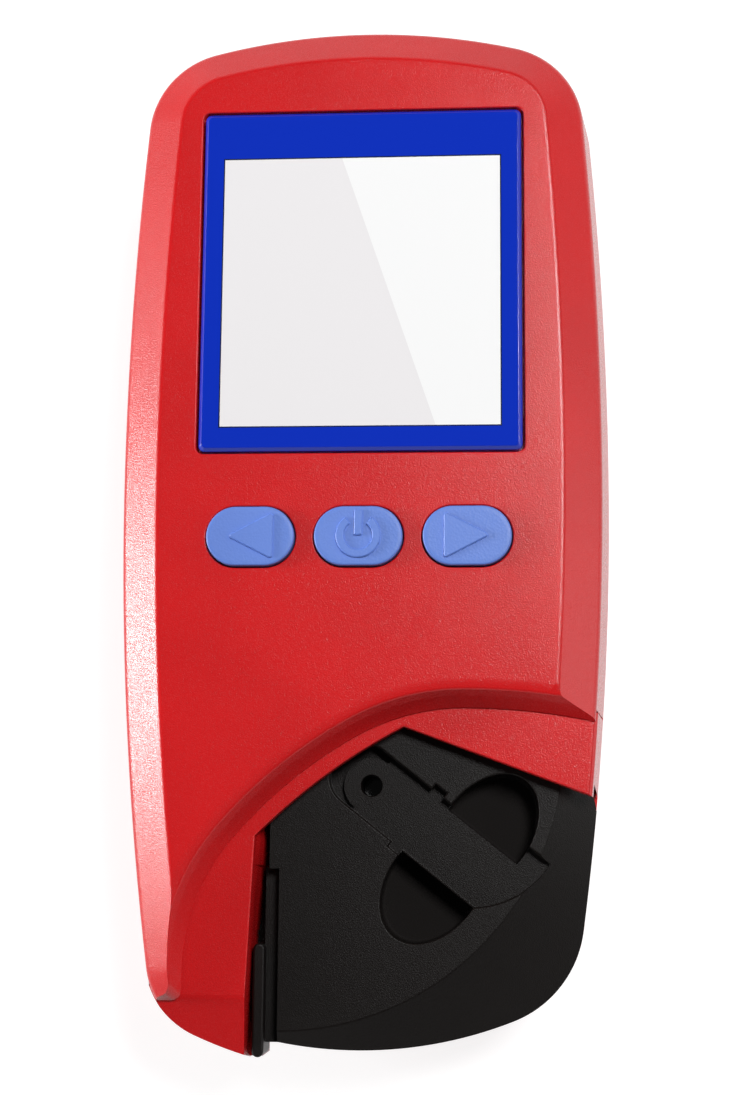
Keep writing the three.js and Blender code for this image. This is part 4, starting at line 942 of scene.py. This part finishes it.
def texturedPlastic(name, base, roughness, grain, strength, spread=0.08, speckle=0, **sockets):
    # pebbles and finer grain over faint patches; speckle adds separate dots
    s = grainSettings
    material, tree, shader = newMaterial(name, base, roughness, **sockets)
    shades = [tuple(c * (1 + change) for c in base) for change in (-s["patchContrast"], s["patchContrast"])]
    patches = ramp(tree, noise(tree, s["patchScale"], s["patchDetail"]), s["blend"], shades)
    link(tree, patches, shader.inputs["Base Color"])
    fine = noise(tree, grain * s["fineScale"], 1)
    glosses = [(roughness - spread,) * 3, (roughness + spread,) * 3]
    link(tree, ramp(tree, fine, s["blend"], glosses), shader.inputs["Roughness"])
    pebbles = step(tree, "ShaderNodeTexVoronoi", {"Vector": coordinates(tree), "Scale": grain})
    heights = [(pebbles, strength), (fine, strength * s["fineShare"])]
    if speckle:
        dots = ramp(tree, noise(tree, grain, 0), s["dots"], ((0, 0, 0), (1, 1, 1)))
        heights.insert(0, (dots, speckle))
    bump(tree, shader, heights, s["height"])
    return material


# name, colour, roughness, grains in a metre, depth of the grain
redPlastic = texturedPlastic("redPlastic", (0.63, 0.010, 0.012), 0.25, 5800, 0.15, spread=0.06, speckle=0.1,
                             **{"Specular IOR Level": 0.45})
blackPlastic = texturedPlastic("blackPlastic", (0.0045, 0.003, 0.0025), 0.42, 6400, 0.22,
                               **{"Specular IOR Level": 0.22})
# the optical window is made near black, a painted shade for the dark inside of the narrow optical hole
shadeDarkWindowGlass = texturedPlastic("shadeDarkWindowGlass", (0.004, 0.004, 0.004), 0.12, 600, 0.02, spread=0.03)
blueButton = texturedPlastic("blueButton", (0.125, 0.235, 0.68), 0.45, 2600, 0.18)
rubber = texturedPlastic("rubber", (0.02, 0.02, 0.02), 0.8, 2500, 0.5)
greenBoard = texturedPlastic("greenBoard", (0.01, 0.12, 0.035), 0.35, 900, 0.1)
whitePlastic = texturedPlastic("whitePlastic", (0.75, 0.75, 0.72), 0.45, 1500, 0.12)
chipBlack = texturedPlastic("chipBlack", (0.02, 0.02, 0.022), 0.45, 2500, 0.25)
cellWrap = texturedPlastic("cellWrap", (0.03, 0.06, 0.1), 0.25, 3000, 0.05)
steel = texturedPlastic("steel", (0.62, 0.62, 0.63), 0.28, 1800, 0.1, Metallic=1.0)

hollowFloorSettings = {
    "along": 16.2,
    "reach": 16.5,
    "height": 1.0,
    "roughness": 0.8,
}


def dullHollows(s, t, material):
    # the floors of the finger hollows are matt
    tree = material.node_tree
    gloss = tree.nodes["Principled BSDF"].inputs["Roughness"]
    x, y = slotPoint(t, s["along"], 0)
    z = trayTopZ - t["hollowDepth"]
    place = coordinates(tree)
    away = step(tree, "ShaderNodeVectorMath", {0: place, 1: (x * mm, y * mm, z * mm)}, "Value",
                operation="DISTANCE")
    near = maths(tree, "LESS_THAN", away, s["reach"] * mm)
    low = maths(tree, "LESS_THAN", axes(tree, place)["Z"], (z + s["height"]) * mm)
    matt = step(tree, "ShaderNodeMix", {
        0: maths(tree, "MULTIPLY", near, low), 2: gloss.links[0].from_socket, 3: s["roughness"]})
    link(tree, matt, gloss)


dullHollows(hollowFloorSettings, slotSettings, blackPlastic)


# Display lens: a clear glossy front over a blue border and a pale window

lensSettings = {
    "chamfer": 0.5,
    "corner": 0.9,
    "leastCorner": 0.3,
    "footInset": 0.12,
    "footRadius": 0.1,
    "edgeRadius": 0.12,
    "windowSide": 3.1,
    "windowTop": 7.2,
    "windowFoot": 3.6,
    # the window right of the line from sheenTop to sheenFoot gets a painted sheen, a lighter tone in place
    # of reflected light
    "sheenTop": (-2.9, 53.3),
    "sheenFoot": (10.9, 13.1),
    "pale": (0.88, 0.86, 0.87),
    "paintedSheen": (0.97, 0.97, 0.97),
    "blue": (0.004, 0.03, 0.5),
    "line": (0.01, 0.02, 0.07),
    "lineWidth": 0.2,
    "coatRoughness": 0.04,
}


# the lens colour holds the print and a painted sheen on the window
def makeLensPrintAndSheen(s):
    material, tree, shader = newMaterial("lensPrintAndPaintedSheen", (0.8, 0.8, 0.8), 0.5, **{
        "Specular IOR Level": 0.0, "Coat Weight": 1.0, "Coat Roughness": s["coatRoughness"]})
    place = axes(tree, coordinates(tree))
    windowLow = (lensLow[0] + s["windowSide"], lensLow[1] + s["windowFoot"])
    windowHigh = (lensHigh[0] - s["windowSide"], lensHigh[1] - s["windowTop"])

    def within(grow):
        sides = [maths(tree, "MULTIPLY", maths(tree, "GREATER_THAN", axis, (low - grow) * mm),
                       maths(tree, "LESS_THAN", axis, (high + grow) * mm))
                 for axis, low, high in zip(place, windowLow, windowHigh)]
        return maths(tree, "MULTIPLY", *sides)

    def mixed(share, a, b):
        return step(tree, "ShaderNodeMix", {0: share, 6: a, 7: b}, 2, data_type="RGBA")

    # a slanting line parts the window's pale colour, on its left, from a painted sheen on its right, a
    # lighter tone that stands in for reflected light
    top, foot = s["sheenTop"], s["sheenFoot"]
    slope = (foot[0] - top[0]) / (foot[1] - top[1])
    fall = maths(tree, "SUBTRACT", place["Y"], top[1] * mm)
    line = maths(tree, "ADD", maths(tree, "MULTIPLY", fall, slope), top[0] * mm)
    paleAndPaintedSheen = mixed(maths(tree, "GREATER_THAN", place["X"], line), (*s["pale"], 1), (*s["paintedSheen"], 1))
    border = mixed(within(s["lineWidth"]), (*s["blue"], 1), (*s["line"], 1))
    link(tree, mixed(within(0), border, paleAndPaintedSheen), shader.inputs["Base Color"])
    return material


def makeLens(s):
    low, high = lensLow[2], lensHigh[2]
    levels = roundedLine([
        (s["footInset"], low, 0),
        (0, low + s["footInset"], s["footRadius"]),
        (0, high - s["chamfer"], s["edgeRadius"]),
        (s["chamfer"], high, s["edgeRadius"]),
        (s["chamfer"] + 1, high, 0),
    ], 4)[:-1]
    return loft("display_lens_front", [
        (boxOutline(lensLow, lensHigh, inset, max(s["corner"] - inset * 0.5, s["leastCorner"])), z)
        for inset, z in levels])


# Geometry Nodes: the screws, the feet and the grip grooves of the door

def newTree(name, sizes):
    tree = bpy.data.node_groups.new(name, "GeometryNodeTree")
    tree.interface.new_socket("Geometry", in_out="INPUT", socket_type="NodeSocketGeometry")
    for label, value in sizes.items():
        kind = "NodeSocketInt" if isinstance(value, int) else "NodeSocketFloat"
        tree.interface.new_socket(label, in_out="INPUT", socket_type=kind).default_value = value
    tree.interface.new_socket("Finish", in_out="INPUT", socket_type="NodeSocketMaterial")
    tree.interface.new_socket("Geometry", in_out="OUTPUT", socket_type="NodeSocketGeometry")
    return tree, tree.nodes.new("NodeGroupInput").outputs


def vector3(tree, x, y, z):
    return step(tree, "ShaderNodeCombineXYZ", {0: x, 1: y, 2: z})


def raisedBy(tree, shape, z):
    return step(tree, "GeometryNodeTransform", {
        "Geometry": shape, "Translation": vector3(tree, 0.0, 0.0, z)})


def meshBoolean(tree, kind, tools, base=None):
    node = tree.nodes.new("GeometryNodeMeshBoolean")
    node.operation = kind
    node.solver = "EXACT"
    if base is not None:
        link(tree, base, node.inputs["Mesh 1"])
    for tool in tools:
        link(tree, tool, node.inputs["Mesh 2"])
    return node.outputs["Mesh"]


def closeTree(tree, shape, finish):
    plain = step(tree, "GeometryNodeRealizeInstances", {"Geometry": shape})
    done = step(tree, "GeometryNodeSetMaterial", {"Geometry": plain, "Material": finish})
    link(tree, done, tree.nodes.new("NodeGroupOutput").inputs[0])
    return tree


def bakeTree(name, tree, start, values):
    carrier = addObject(name, start)
    maker = carrier.modifiers.new("maker", "NODES")
    maker.node_group = tree
    for socket in tree.interface.items_tree:
        if socket.in_out == "INPUT" and socket.name in values:
            maker[socket.identifier] = values[socket.name]
    graph = bpy.context.evaluated_depsgraph_get()
    mesh = bpy.data.meshes.new_from_object(carrier.evaluated_get(graph), depsgraph=graph)
    carrier.modifiers.remove(maker)
    carrier.data = mesh
    return carrier


def pointMesh(places):
    mesh = bpy.data.meshes.new("places")
    mesh.from_pydata(places, [], [])
    return mesh


def turnedHead(tree, radius, height, dome, sides=40):
    # a disc whose outer face, at z 0, falls back by the dome towards its rim
    head = step(tree, "GeometryNodeMeshCylinder", {
        "Vertices": sides, "Side Segments": 1, "Fill Segments": 8, "Radius": radius, "Depth": height})
    head = raisedBy(tree, head, maths(tree, "MULTIPLY", height, 0.5))
    x, y, z = axes(tree, step(tree, "GeometryNodeInputPosition", {}))
    across = maths(tree, "ADD", maths(tree, "MULTIPLY", x, x), maths(tree, "MULTIPLY", y, y))
    share = maths(tree, "DIVIDE", across, maths(tree, "MULTIPLY", radius, radius))
    fall = maths(tree, "MULTIPLY", maths(tree, "MULTIPLY", share, share), dome)
    outer = maths(tree, "LESS_THAN", z, 0.001)
    return step(tree, "GeometryNodeSetPosition", {
        "Geometry": head, "Offset": vector3(tree, 0.0, 0.0, maths(tree, "MULTIPLY", fall, outer))})


screwSizes = {
    "Head Radius": 2.4,
    "Head Height": 1.7,
    "Dome": 0.45,
    "Shank Radius": 1.2,
    "Shank Length": 17.0,
    "Cross Length": 3.3,
    "Cross Width": 0.75,
    "Cross Depth": 0.95,
    "Turn Over": 0.0,
    "Seed": 4,
}


def makeScrewTree(s):
    tree, given = newTree("screwSet", s)
    head = turnedHead(tree, given["Head Radius"], given["Head Height"], given["Dome"])
    deep = maths(tree, "MULTIPLY", given["Cross Depth"], 2.0)
    sides = given["Cross Length"], given["Cross Width"]
    arms = [step(tree, "GeometryNodeMeshCube", {"Size": vector3(tree, a, b, deep)})
            for a, b in (sides, sides[::-1])]
    head = meshBoolean(tree, "DIFFERENCE", arms, head)
    shank = step(tree, "GeometryNodeMeshCylinder", {
        "Vertices": 24, "Side Segments": 1, "Radius": given["Shank Radius"], "Depth": given["Shank Length"]})
    # the shank starts 0.3 inside the head, so that the two make one closed body
    low = maths(tree, "ADD", given["Head Height"], -0.3)
    half = maths(tree, "MULTIPLY", given["Shank Length"], 0.5)
    shank = raisedBy(tree, shank, maths(tree, "ADD", half, low))
    screw = meshBoolean(tree, "UNION", [head, shank])
    # each screw stops at its own turn
    turn = step(tree, "FunctionNodeRandomValue", {3: math.pi / 2, "Seed": given["Seed"]}, 1)
    turn = step(tree, "FunctionNodeEulerToRotation", {0: vector3(tree, given["Turn Over"], 0.0, turn)})
    screws = step(tree, "GeometryNodeInstanceOnPoints", {
        "Points": given["Geometry"], "Instance": screw, "Rotation": turn})
    return closeTree(tree, screws, given["Finish"])


footSizes = {
    "Radius": 4.0,
    "Height": 0.8,
    "Edge": 0.35,
}


def makeFootTree(s):
    tree, given = newTree("footSet", s)
    pad = turnedHead(tree, given["Radius"], given["Height"], given["Edge"], 48)
    feet = step(tree, "GeometryNodeInstanceOnPoints", {"Points": given["Geometry"], "Instance": pad})
    return closeTree(tree, feet, given["Finish"])


gripSizes = {
    "Count": 4,
    "Pitch": 2.4,
    "Length": 14.0,
    "Width": 1.5,
    "Depth": 0.6,
    "First Y": 60.45,
    "Face Z": 0.8,
}


def makeGripTree(s):
    # the bars lose height when they are smoothed, so they start 2.6 times as deep as the grooves
    tree, given = newTree("grippedDoor", s)
    bar = step(tree, "GeometryNodeMeshCube", {
        "Size": vector3(tree, given["Length"], given["Width"], maths(tree, "MULTIPLY", given["Depth"], 2.6)),
        "Vertices X": 12, "Vertices Y": 3, "Vertices Z": 3})
    bar = step(tree, "GeometryNodeSubdivisionSurface", {"Mesh": bar, "Level": 2})
    row = step(tree, "GeometryNodeMeshLine", {
        "Count": given["Count"],
        "Start Location": vector3(tree, 0.0, given["First Y"], given["Face Z"]),
        "Offset": vector3(tree, 0.0, maths(tree, "MULTIPLY", given["Pitch"], -1.0), 0.0)})
    bars = step(tree, "GeometryNodeInstanceOnPoints", {"Points": row, "Instance": bar})
    bars = step(tree, "GeometryNodeRealizeInstances", {"Geometry": bars})
    return closeTree(tree, meshBoolean(tree, "DIFFERENCE", [bars], given["Geometry"]), given["Finish"])


# Battery door: a plate with a round knuckle along its hinge

doorSettings = {
    "corner": 0.6,
    "leastCorner": 0.1,
    "edge": 0.35,
    "innerEdge": 0.15,
    "thickness": 1.8,
    "knuckle": 1.4,
    "lap": 0.6,
}


def makeDoorPlate(s):
    low, high = nodeBox("battery_door")
    axis = low[1] + s["knuckle"]
    levels = roundedLine([
        (s["edge"] * 2, low[2], 0),
        (0, low[2], s["edge"]),
        (0, low[2] + s["thickness"], s["innerEdge"]),
        (s["edge"], low[2] + s["thickness"], 0),
    ], 5)
    rings = []
    for inset, z in levels:
        corner = max(s["corner"] - inset, s["leastCorner"])
        rings.append((roundedRectangle(low[0] + inset, high[0] - inset, axis - s["lap"], high[1] - inset,
                                       corner), z))
    profile = arc(axis, low[2] + s["knuckle"], s["knuckle"], 0, math.tau, 48)
    return join(loft("plate", rings), extrudeAlongX("knuckle", profile, low[0], high[0]))


# Rear case, with the narrow shelf under the notch's left wall

rearSettings = {
    "inset": 0.1,
    "shelfX": (-16.2, -14.3),
    "shelfFoot": 0.15,
    "shelfTopY": -58,
    "shelfDrop": 0.1,
    "shelfDepth": 8,
}


def makeRearCase(s):
    depth = s["shelfDepth"]
    shelf = planLoft("shelf", mainPlan, [(s["inset"], partZ - depth), (s["inset"], partZ - s["shelfDrop"])])
    shelf = keep(shelf, block("shelfSpan", *s["shelfX"], tipY + s["shelfFoot"], s["shelfTopY"],
                              partZ - depth - 1, partZ))
    return join(softened("rear_case", "rear_case_skin"), shelf)


frontShell = makeFrontShell(shellSettings)
settle(frontShell, "case", ["front_shell"], redPlastic)
print("front shell done", len(frontShell.data.polygons))
lowerDeck = makeLowerDeck(deckSettings)
settle(lowerDeck, "case", ["lower_deck"], redPlastic)
print("lower deck done", len(lowerDeck.data.polygons))
tray = makeTray(traySettings, slotSettings)
settle(tray, "tray", ["cuvette_tray"], blackPlastic)
print("tray done", len(tray.data.polygons))
for side in buttonSides:
    settle(makeButton(side, buttonSettings), side + "_key", ["button_" + side], blueButton)
print("buttons done")
settle(makeLens(lensSettings), "case", ["display_lens"], makeLensPrintAndSheen(lensSettings))
settle(makeRearCase(rearSettings), "case", ["rear_case"], redPlastic)
plate = makeDoorPlate(doorSettings)
plateMesh = plate.data
bpy.data.objects.remove(plate)
door = bakeTree("battery_door_skin", makeGripTree(gripSizes), plateMesh, {"Finish": redPlastic})
settle(door, "door", ["battery_door"], redPlastic)
cellRounding = 0.35
for name in ("battery_1", "battery_2", "battery_3"):
    settle(softened(name, name + "_skin", cellRounding), "case", [name], cellWrap)
print("lens, rear case, door and cells done")

screwTree = makeScrewTree(screwSizes)
screwSets = {
    # name: first part of the nodes' names, how many, the end with the head, other sizes
    "case_screws_set": ("case_screw_", 4, "low", {}),
    "board_screws_set": ("board_screw_", 4, "low", {
        "Head Radius": 2.0, "Head Height": 1.4, "Dome": 0.35, "Shank Radius": 1.0, "Shank Length": 6.3,
        "Cross Length": 2.6, "Cross Width": 0.6, "Cross Depth": 0.8, "Seed": 9}),
    "bay_screws_set": ("bay_screw_", 3, "high", {
        "Head Radius": 2.0, "Head Height": 1.0, "Dome": 0.25, "Shank Radius": 0.9, "Shank Length": 6.3,
        "Cross Length": 2.5, "Cross Width": 0.55, "Cross Depth": 0.6, "Turn Over": math.pi, "Seed": 2}),
}
for name, (stem, count, end, sizes) in screwSets.items():
    nodes = [stem + str(i + 1) for i in range(count)]
    places = [(*middleOf(node), nodeBox(node)[end == "high"][2]) for node in nodes]
    screws = bakeTree(name, screwTree, pointMesh(places), {**sizes, "Finish": steel})
    settle(screws, "case", nodes, steel)
footNodes = ["foot_1", "foot_2", "foot_3", "foot_4"]
places = [(*middleOf(node), 0) for node in footNodes]
feet = bakeTree("feet_set", makeFootTree(footSizes), pointMesh(places), {"Finish": rubber})
settle(feet, "case", footNodes, rubber)
print("screws and feet done")

# finishes of the construction parts that stay as they are; all others are steel
carriedOver = (
    (blueButton, ["display_border"]),
    (whitePlastic, ["display_panel", "backlight", "display_holder", "sensor_cable", "light_source"]),
    (greenBoard, ["main_board", "optics_board"]),
    (chipBlack, ["processor", "display_driver", "buzzer", "optical_block", "light_sensor"]),
    # the optical window's near black colour is painted shade
    (blackPlastic, ["bay_floor"]),
    (shadeDarkWindowGlass, ["optical_window"]),
)
finishes = {name: material for material, names in carriedOver for name in names}
for name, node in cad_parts.items():
    material = chipBlack if name.startswith("switch_") else finishes.get(name, steel)
    for slot in node.material_slots:
        slot.material = material


# Floor and light, in metres and watts

stageSettings = {
    "size": 3,
    "below": 0.0001,
    "tone": 0.35,
    "pale": 0.84,
    "skyTop": 0.45,
}


def seenDirectly(tree):
    # 1 for a ray from the camera, off a glossy surface or through glass
    rays = tree.nodes.new("ShaderNodeLightPath").outputs
    seen = maths(tree, "MAXIMUM", rays["Is Camera Ray"], rays["Is Glossy Ray"])
    return maths(tree, "MAXIMUM", seen, rays["Is Transmission Ray"])


def makeStage(s):
    shape = bmesh.new()
    bmesh.ops.create_grid(shape, x_segments=1, y_segments=1, size=s["size"])
    bmesh.ops.translate(shape, verts=shape.verts, vec=(0, 0, -s["below"]))  # just under the feet
    mesh = bpy.data.meshes.new("floor")
    shape.to_mesh(mesh)
    shape.free()
    material = bpy.data.materials.new("paleFloor")
    material.use_nodes = True
    tree = material.node_tree
    tree.nodes.clear()
    matt = step(tree, "ShaderNodeBsdfDiffuse", {"Color": (s["tone"], s["tone"], s["tone"], 1)})
    glow = step(tree, "ShaderNodeEmission", {
        "Color": (1, 1, 1, 1), "Strength": maths(tree, "MULTIPLY", seenDirectly(tree), s["pale"])})
    both = step(tree, "ShaderNodeAddShader", {0: matt, 1: glow})
    link(tree, both, tree.nodes.new("ShaderNodeOutputMaterial").inputs["Surface"])
    mesh.materials.append(material)
    addObject("floor", mesh)


lampSettings = {
    "world": 0.05,
    "lamps": [
        # name, size, power, position
        ("leftSoftbox", 0.2, 6.2, (-0.845, 0.03, 0.2)),
        ("leftFrontSoftbox", 0.3, 0.25, (-0.6, -0.45, 0.35)),
        ("leftBackSoftbox", 0.3, 0.8, (-0.78, 0.25, 0.28)),
        ("keySoftbox", 0.22, 5.2, (0.27, 0.25, 0.76)),
        ("rightSoftbox", 0.4, 1.0, (0.8, 0.02, 0.34)),
    ],
}


def makeLights(s, stage):
    world = bpy.data.worlds.new("studio")
    bpy.context.scene.world = world
    world.use_nodes = True
    tree = world.node_tree
    background = tree.nodes["Background"]
    background.inputs["Color"].default_value = (1, 1, 1, 1)
    # pale walls round the floor, up to skyTop
    low = maths(tree, "LESS_THAN", axes(tree, coordinates(tree, "Generated"))["Z"], stage["skyTop"])
    walls = maths(tree, "MULTIPLY", low, seenDirectly(tree))
    level = step(tree, "ShaderNodeMapRange", {"Value": walls, "To Min": s["world"], "To Max": stage["pale"]})
    link(tree, level, background.inputs["Strength"])
    for name, size, power, place in s["lamps"]:
        data = bpy.data.lights.new(name, "AREA")
        data.shape = "SQUARE"
        data.size = size
        data.energy = power
        lamp = addObject(name, data)
        lamp.location = place
        lamp.rotation_euler = (-Vector(place)).to_track_quat("-Z", "Y").to_euler()


makeStage(stageSettings)
makeLights(lampSettings, stageSettings)
bpy.context.scene.view_settings.view_transform = "Standard"
print("stage and lights done")
